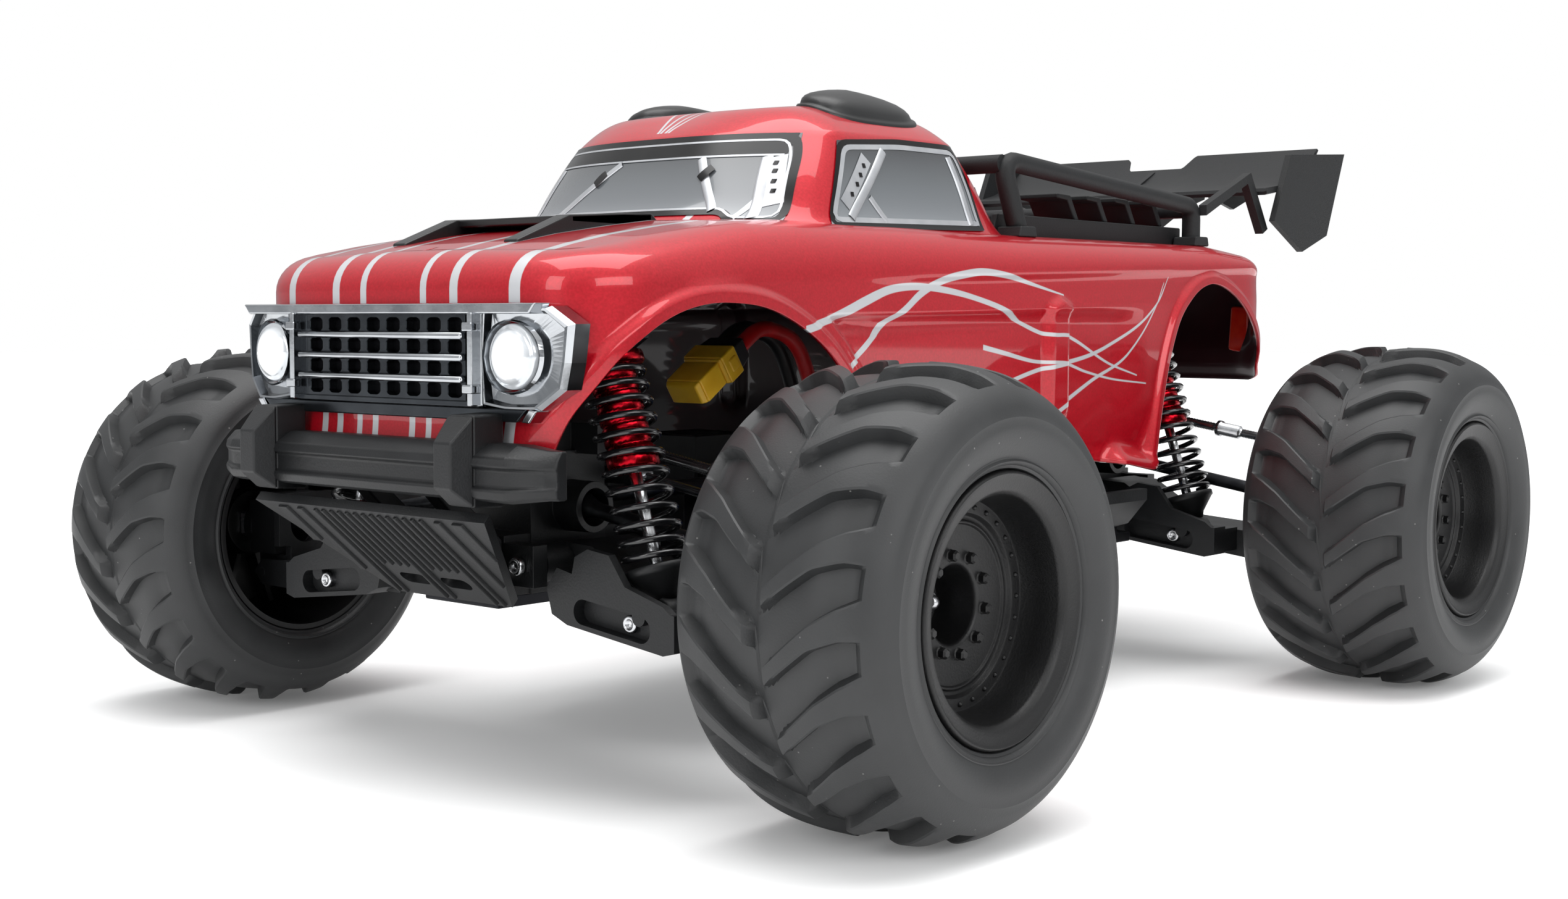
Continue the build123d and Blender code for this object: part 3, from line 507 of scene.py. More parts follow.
for end, side, axle, sign in CORNERS:
    corner = f"{end}_{side}"
    dish = (lathe_points(DISH, 0, 1, 96, 0), grid_faces(len(DISH), 96, wrap=True))
    rib = prism_points([(12, 0.9), (30.5, 0.9), (30.5, -0.9), (12, -0.9)], "y", 143, 149.8)
    ribs = []
    for index in range(10):
        turn = Matrix.Rotation(index * math.pi / 5, 3, "Y")
        ribs.append(([tuple(turn @ Vector(p)) for p in rib[0]], rib[1]))
    rivets = around_axle(round_head(0.75, 154.7, 155.7), 24.5, 28)
    washers = around_axle(round_head(1.9, 152.8, 153.6, 16, 3), 12.6, 10, 0.15)
    bolts = around_axle(hex_head(1.45, 153.4, 155.3), 12.6, 10, 0.15)
    wheel_part(f"dished_rim_{corner}", [dish, rivets, washers, bolts, *ribs], axle, sign, rim_nylon, corner,
               [f"rim_{corner}"])
    nut = [hex_head(4.0, 141, 145.5, 0.8), round_head(2.3, 145.4, 148.2, 20, 5)]
    wheel_part(f"wheel_nut_{corner}", nut, axle, sign, steel, corner)
    hub = [hex_head(6.8, 133.4, 139.1, 0.5), hex_head(2.9, 126.9, 133.5, 0.3, 20)]
    wheel_part(f"hex_hub_{corner}", hub, axle, sign, steel, corner)
print("wheels dressed")

# %% [markdown]
# ## Body shell
# The real shell is one clear polycarbonate sheet, drawn down over a mould and painted on its
# inside, so it is smooth, glossy and thin. It could be a box with bevels, but every change of form
# on the real one is soft. So it is a grid: columns run round the outline seen from above and follow
# the wheel arches at their lower end, and rows climb the wall, roll over the shoulder and run to
# the middle of the hood. Creases and flares are small offsets of that grid.

# %% Outline of the lower body
PLAN = [(214, 0), (214, 22), (213.4, 40), (211.8, 52), (208.5, 61.5), (202.5, 68.5), (193, 72.8), (180, 74),
        (120, 74),
        (60, 74), (-20, 74), (-90, 74), (-140, 74), (-154, 72.8), (-162.5, 68.5), (-167, 60), (-168.5, 45),
        (-169, 25),
        (-169, 0)]
LOWER_EDGE = [(214, 84), (211.8, 84), (210, 92), (207.3, 104), (203, 112.5), (197.1, 120.6), (188.2, 127.6),
              (179, 131.8), (168, 134.2), (157, 134.6), (143.7, 133.4), (131.7, 129.8), (119.2, 123.6),
              (110, 116.4),
              (103, 108), (97, 98), (92.6, 86), (90.5, 84), (60, 83), (-30, 82), (-54, 79), (-72, 76),
              (-74, 77.5),
              (-77, 92), (-81.3, 109), (-86, 121.5), (-92.1, 131.5), (-103, 139.6), (-115.5, 143),
              (-128, 141),
              (-140.9, 134.5), (-150, 127), (-157.8, 118.4), (-163, 108), (-165.5, 106), (-169, 106)]
TOP_LINE = [(-169, 150.5), (-160, 153.8), (-150, 156), (-125, 158.3), (-60, 158.6), (1, 158.6), (70, 160),
            (120, 160.4),
            (140, 159.4), (157, 157.4), (178, 154.4), (192.7, 151.6), (204, 149), (214, 146.5)]
SHOULDER_LINE = [(-169, 147), (-150, 149.6), (-104, 148), (-40, 146.4), (31, 144.3), (100, 142.4),
                 (139, 140.8),
                 (180, 138.6), (205, 138), (214, 138.4)]
GROOVE_LINE = [(-49, 132.8), (38, 131.7), (112, 130.9)]


def along_x(table, x):
    """Height of a line given as (x, z) points, at x."""
    table = np.array(sorted(table), float)
    return np.interp(x, table[:, 0], table[:, 1])


def distance_to(path, x, z):
    """Distance of points (x, z) from a polyline."""
    best = np.full(np.shape(x), 1e9)
    for (x0, z0), (x1, z1) in zip(path, path[1:]):
        span = max((x1 - x0)**2 + (z1 - z0)**2, 1e-9)
        t = np.clip(((x - x0) * (x1 - x0) + (z - z0) * (z1 - z0)) / span, 0, 1)
        best = np.minimum(best, np.hypot(x - x0 - t * (x1 - x0), z - z0 - t * (z1 - z0)))
    return best


FRONT_ARCH, REAR_ARCH = spline(LOWER_EDGE[1:18], step=2.5), spline(LOWER_EDGE[20:35], step=2.5)
EDGE_LINE = np.vstack([LOWER_EDGE[:1], FRONT_ARCH, LOWER_EDGE[18:20], REAR_ARCH, LOWER_EDGE[35:]])


def wall_relief(x, z, y):
    """How far the side wall stands out from the plain outline: flares, door inset, groove, boss, sill."""
    side = smooth_step(y, 60, 71)
    front, rear = distance_to(FRONT_ARCH, x, z), distance_to(REAR_ARCH, x, z)
    out = 1.9 * (1 - smooth_step(front, 2.6, 6.0)) + 1.7 * (1 - smooth_step(rear, 2.2, 5.2))
    out = out * smooth_step(x, -168, -160)
    groove = np.interp(x, [p[0] for p in GROOVE_LINE], [p[1] for p in GROOVE_LINE])
    door = smooth_step(groove - z, -0.2, 1.3) * smooth_step(front, 8.4, 9.8) * smooth_step(rear, 4.5, 9)
    door = door * smooth_step(x, -70, -45) * (1 - smooth_step(x, 108, 116))
    out = out - 1.5 * door * side
    taper = np.clip((x + 49) / 161, 0, 1)
    notch = smooth_step(groove - z, -0.6, 1.2) * (1 - smooth_step(groove - z, 4.2 * taper,
                                                                  4.2 * taper + 2.0))
    ahead = 1 - smooth_step(x, 104, 112)
    out = out - 1.0 * notch * smooth_step(front, 8.4, 9.8) * smooth_step(x, -49, -30) * ahead * side
    crease = along_x(SHOULDER_LINE, x)
    lip = smooth_step(crease - z, 0.0, 2.4) * (1 - smooth_step(crease - z, 4, 12))
    out = out - 0.7 * lip * (1 - smooth_step(x, 60, 100)) * smooth_step(x, -166, -150) * side
    boss = np.minimum(7.6 - np.abs(x + 11), 6.0 - np.abs(x + 11) * 0.45 + (16.5 - np.abs(z - 116)))
    out = out + 2.4 * np.clip(boss / 2.6, 0, 1) * side
    out = out - 4.5 * np.clip((102 - z) / 24, 0, 1)**1.7 * smooth_step(front, 3,
                                                                       9) * smooth_step(rear, 3, 9) * side
    sill = smooth_step(84.5 + 0.06 * x - z, -1, 2) * (x < 90) * (x > -75)
    return out + 1.2 * sill * side


def tail_relief(z):
    """How far the tail panel stands out at a height."""
    return np.interp(z, [104, 108, 112, 118, 126, 132, 150], [2.5, 1.6, -1.5, -2.0, -0.6, 0.3, 0])


def body_top(x, y):
    """Height of the hood and deck."""
    crown = np.interp(x, [-169, -120, 0, 120, 190, 214], [1.5, 1.0, 1.0, 2.0, 2.6, 3.0])
    return along_x(TOP_LINE, x) - crown * (np.abs(y) / 70)**2.2


# %% Lower body grid
WALL_LOW, WALL_HIGH, ROLL, DECK = 26, 16, 9, 22


def body_half():
    """Rows of points for the left half, from the nose centre round to the tail centre."""
    plan = spline(PLAN, step=0.25)
    edge_z = along_x(EDGE_LINE.tolist(), plan[:, 0])
    nose, tail = (plan[:, 0] > 211.8), (plan[:, 0] < -165.5)
    edge_z[nose], edge_z[tail] = 84, 106
    travel = np.hypot(np.linalg.norm(np.diff(plan, axis=0), axis=1), np.diff(edge_z))
    run = np.concatenate([[0], np.cumsum(travel)])
    wanted = np.linspace(0, run[-1], 470)
    place = np.stack([np.interp(wanted, run, plan[:, 0]), np.interp(wanted, run, plan[:, 1])], 1)
    low = np.interp(wanted, run, edge_z)
    ahead = np.gradient(place, axis=0)
    normal = np.stack([-ahead[:, 1], ahead[:, 0]], 1) * -1
    normal /= np.linalg.norm(normal, axis=1)[:, None]
    shoulder = along_x(SHOULDER_LINE, place[:, 0])
    waist = np.maximum(np.interp(place[:, 0], *np.array(sorted(GROOVE_LINE)).T) - 0.2,
                       low + 0.45 * (shoulder - low))
    rows = []
    for row in range(WALL_LOW + WALL_HIGH + 1):
        if row <= WALL_LOW:
            z = low + (waist - low) * (row / WALL_LOW)**1.15
        else:
            z = waist + (shoulder - waist) * (row - WALL_LOW) / WALL_HIGH
        out = wall_relief(place[:, 0], z, place[:, 1])
        at_tail = smooth_step(-place[:, 0], 158, 166)
        out = out + tail_relief(z) * at_tail
        rows.append(np.column_stack([place + normal * out[:, None], z]))
    roll = np.interp(place[:, 0], [-169, -150, -60, 60, 120, 190, 214], [7, 10, 12, 13, 15, 14, 12])
    inner = place - normal * roll[:, None]
    rim_z = body_top(inner[:, 0], inner[:, 1])
    for row in range(1, ROLL + 1):
        bend = math.pi / 2 * row / ROLL
        flat = place - normal * (roll * (1 - math.cos(bend)))[:, None]
        rows.append(np.column_stack([flat, shoulder + (rim_z - shoulder) * math.sin(bend)]))
    spine = np.column_stack([np.clip(inner[:, 0], -140, 172), np.zeros(len(inner))])
    for row in range(1, DECK + 1):
        flat = inner + (spine - inner) * (row / DECK)
        rows.append(np.column_stack([flat, body_top(flat[:, 0], flat[:, 1])]))
    return rows


def closed_skin(name, halves, weld=0.02):
    """Weld a left half and its mirror image into one skin with outward normals."""
    rows = len(halves)
    columns = len(halves[0])
    points = np.vstack(halves)
    faces = grid_faces(rows, columns)
    both = merge([(points.tolist(), faces), (mirrored(points).tolist(), [f[::-1] for f in faces])])
    mesh = from_arrays(name, *both)
    tidy = bmesh.new()
    tidy.from_mesh(mesh)
    bmesh.ops.remove_doubles(tidy, verts=tidy.verts, dist=weld * MM)
    bmesh.ops.dissolve_degenerate(tidy, edges=tidy.edges, dist=0.005 * MM)
    bmesh.ops.recalc_face_normals(tidy, faces=tidy.faces)
    tidy.to_mesh(mesh)
    tidy.free()
    return mesh


# %% [markdown]
# ## Cab
# The cab is the same idea with a smaller outline: two plan curves, one at the belt line and one at
# the eaves, are blended up the pillars, and the roof rolls over from the eaves to its middle. The
# panes use the same surface, a little further out, so they always follow the pillars.

# %% Cab surface
CAB_BELT = [(126.5, 0), (125.5, 20), (121.5, 36), (114.5, 49), (107, 57), (98, 61.2), (88, 62), (60, 62),
            (28, 62),
            (13, 61.2), (4, 57), (0.5, 48), (0, 30), (0, 0)]
CAB_EAVES = [(106.5, 0), (105.8, 18), (102.8, 32), (97.5, 43), (91.5, 50), (84.5, 53.2), (76, 53.8),
             (58, 53.8),
             (36, 53.8), (26, 53), (19.5, 49.5), (16.6, 42), (16, 27), (16, 0)]
BELT_Z, EAVES_Z = 160.0, 187.0


FLARE = [(155.5, 7.0), (157.4, 4.8), (159, 2.8), (160.8, 1.3), (162.6, 0.5), (164.6, 0.1), (166, 0)]


def cab_ring(z, out=0.0):
    """The cab's left outline at a height, from the front centre to the rear centre."""
    t = (z - BELT_Z) / (EAVES_Z - BELT_Z)
    mix = np.array(CAB_BELT, float) * (1 - t) + np.array(CAB_EAVES, float) * t
    ring = spline(mix, count=150)
    ahead = np.gradient(ring, axis=0)
    normal = np.stack([-ahead[:, 1], ahead[:, 0]], 1)
    normal /= np.linalg.norm(normal, axis=1)[:, None]
    flare = np.interp(z, *np.array(FLARE).T) * np.interp(ring[:, 1], [46, 60], [1, 0.3])
    swell = 0.9 * math.sin(math.pi * min(max(t, 0), 1)) + flare + out
    return ring + outward(ring, normal) * swell[:, None]


def outward(ring, normal):
    """Normals turned so that they point away from the cab's middle."""
    middle = np.array([58.0, 0.0])
    side = np.sign(np.sum((ring - middle) * normal, axis=1))
    return normal * np.where(side == 0, 1, side)[:, None]


def roof_z(flat, edge, centre):
    """Roof height for points on the way from the eaves ring to the middle line."""
    reach = np.linalg.norm(flat - edge, axis=1)
    share = reach / np.maximum(np.linalg.norm(centre - edge, axis=1), 1e-9)
    ridge = np.interp(flat[:, 0], [16, 27, 40, 58, 80, 100],
                      [194.5, 196.5, 197.8, 198.2, 197.2, 195.2]) - EAVES_Z
    return EAVES_Z + ridge * (0.9 * (1 - (1 - np.minimum(reach / 20, 1))**2.1) + 0.1 * share)


def cab_half():
    """Rows of points of the cab's left half, flared where it grows out of the body."""
    rows = []
    for z in [*np.arange(155.5, 166, 1.0), *np.linspace(167, EAVES_Z, 14)]:
        rows.append(np.column_stack([cab_ring(z), np.full(150, z)]))
    edge = cab_ring(EAVES_Z)
    centre = np.column_stack([np.clip(edge[:, 0], 38, 80), np.zeros(150)])
    for share in np.linspace(0, 1, 30)[1:]**1.25:
        flat = edge + (centre - edge) * share
        rows.append(np.column_stack([flat, roof_z(flat, edge, centre)]))
    return rows


# %% [markdown]
# ## Paint
# The red is a metallic lacquer seen through the clear sheet: a deep red base with fine flakes,
# under a hard glossy coat. Silver stripes are masked before spraying. Each stripe is drawn from a
# curve of height and a curve of width along the body, so it stays sharp at any size. Inside, the
# sheet is backed with a dark coat.

# %% Stripe masks
def soft_edge(tree, value, low, high):
    """1 where the value is under low, 0 over high."""
    edge = node(tree, "ShaderNodeMapRange", [("Value", value)], interpolation_type="SMOOTHSTEP")
    for key, amount in (("From Min", low), ("From Max", high), ("To Min", 1.0), ("To Max", 0.0)):
        edge.inputs[key].default_value = amount
    return edge.outputs["Result"]


def combine(tree, operation, first, second):
    """One math step on two sockets or numbers."""
    step = node(tree, "ShaderNodeMath", operation=operation)
    for index, value in enumerate((first, second)):
        if isinstance(value, (int, float)):
            step.inputs[index].default_value = value
        else:
            tree.links.new(value, step.inputs[index])
    return step.outputs[0]


def stripe(tree, along, across, points):
    """Mask of a painted stripe through (along, across, width) points in millimetres."""
    line = spline(sorted(points), count=max(len(points), 4) * 3)
    low, high = line[0, 0], line[-1, 0]
    floor_value, height = line[:, 1].min() - 1, np.ptp(line[:, 1]) + 2
    slope = np.gradient(line[:, 1], line[:, 0])
    widths = line[:, 2] * np.sqrt(1 + slope**2) / 2
    share = node(tree, "ShaderNodeMapRange", [("Value", along)], clamp=True)
    share.inputs["From Min"].default_value, share.inputs["From Max"].default_value = low * MM, high * MM
    found = []
    for values in ((line[:, 1] - floor_value) / height, widths / widths.max()):
        curve = node(tree, "ShaderNodeFloatCurve", [("Value", share.outputs["Result"])])
        track = curve.mapping.curves[0]
        spots = list(zip((line[:, 0] - low) / (high - low), values))
        track.points[0].location, track.points[1].location = spots[0], spots[-1]
        for spot in spots[1:-1]:
            track.points.new(*spot)
        curve.mapping.update()
        found.append(curve.outputs["Value"])
    centre = combine(tree, "ADD", combine(tree, "MULTIPLY", found[0], float(height * MM)),
                     float(floor_value * MM))
    gap = combine(tree, "ABSOLUTE", combine(tree, "SUBTRACT", across, centre), 0.0)
    half = combine(tree, "MULTIPLY", found[1], float(widths.max() * MM))
    mask = soft_edge(tree, combine(tree, "SUBTRACT", gap, half), -0.00005, 0.00025)
    inside = combine(tree, "MULTIPLY", combine(tree, "GREATER_THAN", along, float(low * MM)),
                     combine(tree, "LESS_THAN", along, float(high * MM)))
    return combine(tree, "MULTIPLY", mask, inside)


# %% Side swooshes, hood and valance stripes
SWOOSHES = [
    [(126, 127, 2.2), (117, 129, 2.0), (106, 132, 2.6), (94, 136, 2.7), (83, 139, 2.3), (69, 140, 2.0),
     (54, 139, 1.8),
     (40, 137, 1.6), (22, 133, 1.6), (8, 128, 1.3), (-4, 125, 1.1), (-19, 124, 1.0), (-44, 115, 0.7),
     (-63, 110, 0.3)],
    [(103, 116, 1.6), (94, 122, 1.9), (86, 128, 2.0), (76, 133, 2.0), (67, 138, 2.2), (56, 142, 2.3),
     (45, 144, 2.3),
     (34, 145, 2.1), (20, 144, 1.7), (8, 142, 1.1), (-14, 138, 0.3)],
    [(-85, 145, 0.2), (-78, 137, 0.5), (-64, 128, 0.8), (-46, 121, 1.0), (-30, 117, 1.2), (0, 113, 1.2),
     (24, 108, 1.2),
     (60, 101, 1.0)],
    [(-82, 143, 0.2), (-74, 133, 0.5), (-64, 123, 0.6), (-53, 115, 0.8), (-35, 109, 1.1), (-10, 99, 1.4),
     (10, 91, 1.2)],
    [(32, 121, 1.5), (20, 119, 1.3), (2, 116, 1.0), (-17, 115, 0.9), (-30, 112, 0.7), (-48, 109, 0.5),
     (-69, 107, 0.3)],
]
HOOD_LINES = [(13, 15, 17, 2.4), (25.5, 28, 31, 3.0), (48, 47, 45, 3.5)]
VALANCE_LINES = [(8, 2.2), (15, 2.0), (24, 2.4), (31, 2.4), (47, 3.6)]

paint, tree, surface = material("candy_red_lacquer_under_clear_sheet", "#a80f20", 0.3, Metallic=0.3,
                                Specular_IOR_Level=0.3,
                                Coat_Weight=0.7, Coat_Roughness=0.03)
place = node(tree, "ShaderNodeTexCoord").outputs["Object"]
parts = node(tree, "ShaderNodeSeparateXYZ", [("Vector", place)])
run_x, run_y, run_z = (parts.outputs[axis] for axis in "XYZ")
width_y = combine(tree, "ABSOLUTE", run_y, 0.0)
on_side = combine(tree, "GREATER_THAN", width_y, 0.0655)
masks = [combine(tree, "MULTIPLY", stripe(tree, run_x, run_z, line), on_side) for line in SWOOSHES]
on_hood = combine(tree, "MULTIPLY", combine(tree, "GREATER_THAN", run_z, 0.1345),
                  combine(tree, "GREATER_THAN", run_x, 0.123))
for front, middle, back, width in HOOD_LINES:
    line = stripe(tree, run_x, width_y, [(100, back, width * 0.6), (150, middle, width * 0.8),
                                         (200, front, width),
                                         (216, front, width)])
    masks.append(combine(tree, "MULTIPLY", line, on_hood))
on_valance = combine(tree, "MULTIPLY", combine(tree, "LESS_THAN", run_z, 0.107),
                     combine(tree, "GREATER_THAN", run_x, 0.2))
for offset, width in VALANCE_LINES:
    gap = combine(tree, "ABSOLUTE", combine(tree, "SUBTRACT", width_y, offset * MM), 0.0)
    masks.append(combine(tree, "MULTIPLY", soft_edge(tree, gap, width / 2 * MM, (width / 2 + 0.3) * MM),
                         on_valance))
on_roof = combine(tree, "MULTIPLY", combine(tree, "GREATER_THAN", run_z, 0.1885),
                  combine(tree, "GREATER_THAN", run_x, 0.07))
for near, far in ((1.0, 4), (2.4, 13)):
    line = stripe(tree, run_x, width_y, [(70, far, 0.5), (88, (near + far) / 2, 0.7), (104, near, 0.8),
                                         (108, near, 0.8)])
    masks.append(combine(tree, "MULTIPLY", line, on_roof))
whole = masks[0]
for mask in masks[1:]:
    whole = combine(tree, "MAXIMUM", whole, mask)
flakes = node(tree, "ShaderNodeTexNoise", [("Vector", place)], Scale=1000 / 0.7, Detail=2.0)
sparkle = node(tree, "ShaderNodeValToRGB", [("Fac", flakes.outputs["Fac"])])
sparkle.color_ramp.elements[0].position, sparkle.color_ramp.elements[1].position = 0.35, 0.75
sparkle.color_ramp.elements[0].color, sparkle.color_ramp.elements[1].color = srgb("#a30717"), srgb("#b80c20")
coloured = node(tree, "ShaderNodeMix", [("Factor", whole)], data_type="RGBA")
tree.links.new(sparkle.outputs["Color"], coloured.inputs[6])
coloured.inputs[7].default_value = srgb("#bfc0c3")
tree.links.new(coloured.outputs[2], surface.inputs["Base Color"])
rough = node(tree, "ShaderNodeMapRange", [("Value", flakes.outputs["Fac"])])
rough.inputs["To Min"].default_value, rough.inputs["To Max"].default_value = 0.24, 0.42
tree.links.new(rough.outputs["Result"], surface.inputs["Roughness"])

backing, tree, surface = material("dark_backing_coat_inside_shell", "#2a0a0f", 0.35, Coat_Weight=0.4)
mottle(tree, surface, ("#22070b", "#340d14"), 30, 0.1, 1.0, (0.28, 0.45))


# %% Shell pieces
def thin_sheet(piece, thickness, inner_slot):
    """Give a skin its thickness inward, with the backing material inside."""
    sheet = piece.modifiers.new("sheet_thickness", "SOLIDIFY")
    sheet.thickness, sheet.offset = thickness * MM, -1
    sheet.material_offset, sheet.material_offset_rim = inner_slot, 0
    sheet.use_even_offset = False


lower = publish("lower_shell", closed_skin("lower_shell", body_half()), [paint, backing], "shell",
                ["body_shell"])
thin_sheet(lower, 1.3, 1)
cab = publish("cab_shell", closed_skin("cab_shell", cab_half()), [paint, backing], "shell")
thin_sheet(cab, 1.1, 1)
print("shell:", len(lower.data.polygons) + len(cab.data.polygons), "faces")

# %% [markdown]
# ## Windows
# The panes are part of the clear shell, printed on the inside: a smoke tint that is darkest at the
# top, a black border with a fine silver line, and a drawn roll cage of silver tubes. The tint could
# be one texture, but lines that have to stay sharp are better as thin raised strips. Every strip is
# placed by one of three functions that put a flat (across, height) point on the cab's own skin.

# %% Points on the cab's skin
def on_front(y, z, out):
    """A point on the windscreen."""
    ring = cab_ring(z, out)
    last = int(np.argmax(ring[:, 1]))
    return float(np.interp(abs(y), ring[:last, 1], ring[:last, 0])), y, z


def on_side(x, z, out):
    """A point on the left side of the cab."""
    ring = cab_ring(z, out)
    wall = ring[ring[:, 1] > 44][::-1]
    return x, float(np.interp(x, wall[:, 0], wall[:, 1])), z


def on_rear(y, z, out):
    """A point on the back of the cab."""
    ring = cab_ring(z, out)
    back = ring[ring[:, 0] < 25][::-1]
    return float(np.interp(abs(y), back[:, 1], back[:, 0])), y, z


def pane(place, low, high, rows=14, columns=40):
    """Grid between a lower and an upper edge line, each a list of (across, height) points."""
    low, high = spline_corners(low, columns), spline_corners(high, columns)
    spots = [low + (high - low) * t for t in np.linspace(0, 1, rows)]
    return [place(a, b, 0.35) for line in spots for a, b in line], grid_faces(rows, columns)


def spline_corners(points, count):
    """Even samples along straight runs whose corners are cut to small curves."""
    line = rounded(points, 3.0, 6) if len(points) > 2 else np.array(points, float)
    along = np.concatenate([[0], np.cumsum(np.linalg.norm(np.diff(line, axis=0), axis=1))])
    wanted = np.linspace(0, along[-1], count)
    return np.stack([np.interp(wanted, along, line[:, i]) for i in range(2)], 1)


def strip(place, path, width, out=0.5, relief=0.0, step=1.6, closed=False):
    """A band along (across, height) points, flat or half round, as points and faces."""
    line = np.array(list(path) + ([path[0]] if closed else []), float)
    length = np.linalg.norm(np.diff(line, axis=0), axis=1).sum()
    line = spline_corners(line, max(int(length / step), 2) + 1)
    ahead = np.gradient(line, axis=0)
    if closed:
        ahead[0] = ahead[-1] = line[1] - line[-2]
    ahead /= np.linalg.norm(ahead, axis=1)[:, None]
    beside = np.stack([-ahead[:, 1], ahead[:, 0]], 1)
    shares = np.array([-1, -0.75, -0.4, 0, 0.4, 0.75, 1]) if relief else np.array([-1, 0, 1])
    points = []
    for spot, turn in zip(line, beside):
        for share in shares:
            across = spot + turn * share * width / 2
            points.append(place(across[0], across[1], out + relief * math.sqrt(1 - share**2)))
    return points, grid_faces(len(line), len(shares))


# %% Print finishes
tint, tree, surface = material("smoke_tint_printed_polycarbonate", "#6d7276", 0.16, Coat_Weight=0.5,
                               Coat_Roughness=0.02)
place = node(tree, "ShaderNodeTexCoord").outputs["Object"]
height = node(tree, "ShaderNodeSeparateXYZ", [("Vector", place)]).outputs["Z"]
fade = node(tree, "ShaderNodeMapRange", [("Value", height)])
fade.inputs["From Min"].default_value, fade.inputs["From Max"].default_value = 0.158, 0.185
ramp = node(tree, "ShaderNodeValToRGB", [("Fac", fade.outputs["Result"])])
ramp.color_ramp.elements[0].color, ramp.color_ramp.elements[1].color = srgb("#777c80"), srgb("#26282b")
tree.links.new(ramp.outputs["Color"], surface.inputs["Base Color"])
black_print, tree, surface = material("black_screen_print_under_gloss", "#08080a", 0.25,
                                      Specular_IOR_Level=0.3)
mottle(tree, surface, ("#060607", "#0c0c0e"), 25, 0, None, (0.16, 0.26))
silver_print, tree, surface = material("silver_screen_print", "#a9acb0", 0.36, Metallic=0.5)
mottle(tree, surface, ("#a0a3a7", "#b6b8bb"), 9, 0, None, (0.25, 0.4))

# %% Windscreen, side and rear panes
SCREEN_LOW = [(-56, 158), (-44, 158), (-39.5, 161.5), (39.5, 161.5), (44, 158), (56, 158)]
SCREEN_HIGH = [(-48.5, 186.5), (48.5, 186.5)]
SIDE_LOW, SIDE_HIGH = [(18.5, 158.8), (99, 157.3)], [(23, 186.5), (85.5, 184.5)]
REAR_LOW, REAR_HIGH = [(-47, 163), (47, 163)], [(-41, 185), (41, 185)]
SCREEN_RIM = [*SCREEN_LOW, (51.5, 180), (48.5, 186.5), (-48.5, 186.5), (-51.5, 180)]
SIDE_RIM = [*SIDE_LOW, (92, 172), (85.5, 184.5), (55, 186.6), (23, 186.5)]
REAR_RIM = [*REAR_LOW, (41, 185), (-41, 185)]


def inset(rim, amount):
    """An outline moved in towards its middle."""
    rim = np.array(rim, float)
    middle = (rim.min(0) + rim.max(0)) / 2
    reach = (rim.max(0) - rim.min(0)) / 2
    return middle + (rim - middle) * (1 - amount / reach)


def both_sides(parts):
    """Parts and their mirror images."""
    return parts + [(mirrored(points).tolist(), [f[::-1] for f in faces]) for points, faces in parts]


def skin_piece(name, parts, finish):
    """Thin print or pane on the shell."""
    return publish(name, from_arrays(name, *merge(parts)), finish, "shell")


screen = publish("window_panes", from_arrays("window_panes", *merge(
    [pane(on_front, SCREEN_LOW, SCREEN_HIGH), pane(on_rear, REAR_LOW, REAR_HIGH)]
    + both_sides([pane(on_side, SIDE_LOW, SIDE_HIGH)]))), tint, "shell",
    ["window_panels"])

# %% Black borders, plates and bands
HOLES_FRONT = [(46.7, 177), (47.5, 174.5), (48.5, 171.3), (49.5, 168.3)]
HOLES_SIDE = [(76.8, 177), (79.6, 174), (82.3, 171), (85.8, 167.8)]
black = [strip(on_front, inset(SCREEN_RIM, 0.9), 1.9, closed=True),
         strip(on_rear, inset(REAR_RIM, 0.9), 1.9, closed=True),
         strip(on_front, [(-48, 183.2), (48, 183.2)], 6.6)]
black += [strip(on_front, [(a - 1.2, c), (a + 1.2, c - 1.6)], 4.6, 0.95, 0.5, 0.6) for a,
          c in ((-15, 175), (28, 175))]
black += [strip(on_front, [(y, z - 0.6), (y, z + 0.6)], 1.3, 0.75, 0.1, 0.4) for y, z in HOLES_FRONT]
black += both_sides([strip(on_side, inset(SIDE_RIM, 0.8), 1.7, closed=True)]
                    + [strip(on_side, [(x, z - 0.7), (x, z + 0.7)], 1.5, 0.75, 0.1, 0.4) for x,
                       z in HOLES_SIDE])
skin_piece("window_black_print", black, black_print)

# %% Silver lines, drilled plates and drawn cage tubes
silver = [strip(on_front, inset(SCREEN_RIM, 2.2), 0.6, 0.6, closed=True),
          strip(on_rear, inset(REAR_RIM, 2.2), 0.6, 0.6, closed=True),
          strip(on_front, [(-47.5, 179.5), (47.5, 179.5)], 0.6, 0.65),
          strip(on_front, [(46.2, 179), (51, 164)], 4.6, 0.6),
          strip(on_front, [(46.5, 166), (43.4, 160)], 1.8, 0.6)]
for start, end, width in (((-9, 179), (-28, 162.6), 2.5), ((23.5, 179), (35.4, 162.6), 2.5),
                          ((-43.5, 179), (-48, 160), 3.0), ((43.5, 179), (48, 160), 3.0)):
    silver.append(strip(on_front, [start, end], width, 0.5, 0.5))
side_silver = [strip(on_side, inset(SIDE_RIM, 2.5), 1.6, 0.55, closed=True),
               strip(on_side, [(74.5, 179.5), (90, 164.5)], 4.6, 0.6),
               strip(on_side, [(64.4, 182.2), (88.5, 160.4)], 3.0, 0.5, 0.5),
               strip(on_side, [(77.2, 167.4), (71, 160.2)], 2.2, 0.5, 0.4),
               strip(on_side, [(29.3, 182.5), (25, 160.6)], 3.0, 0.5, 0.5)]
skin_piece("window_silver_print", silver + both_sides(side_silver), silver_print)
print("windows:", len(screen.data.polygons), "pane faces")

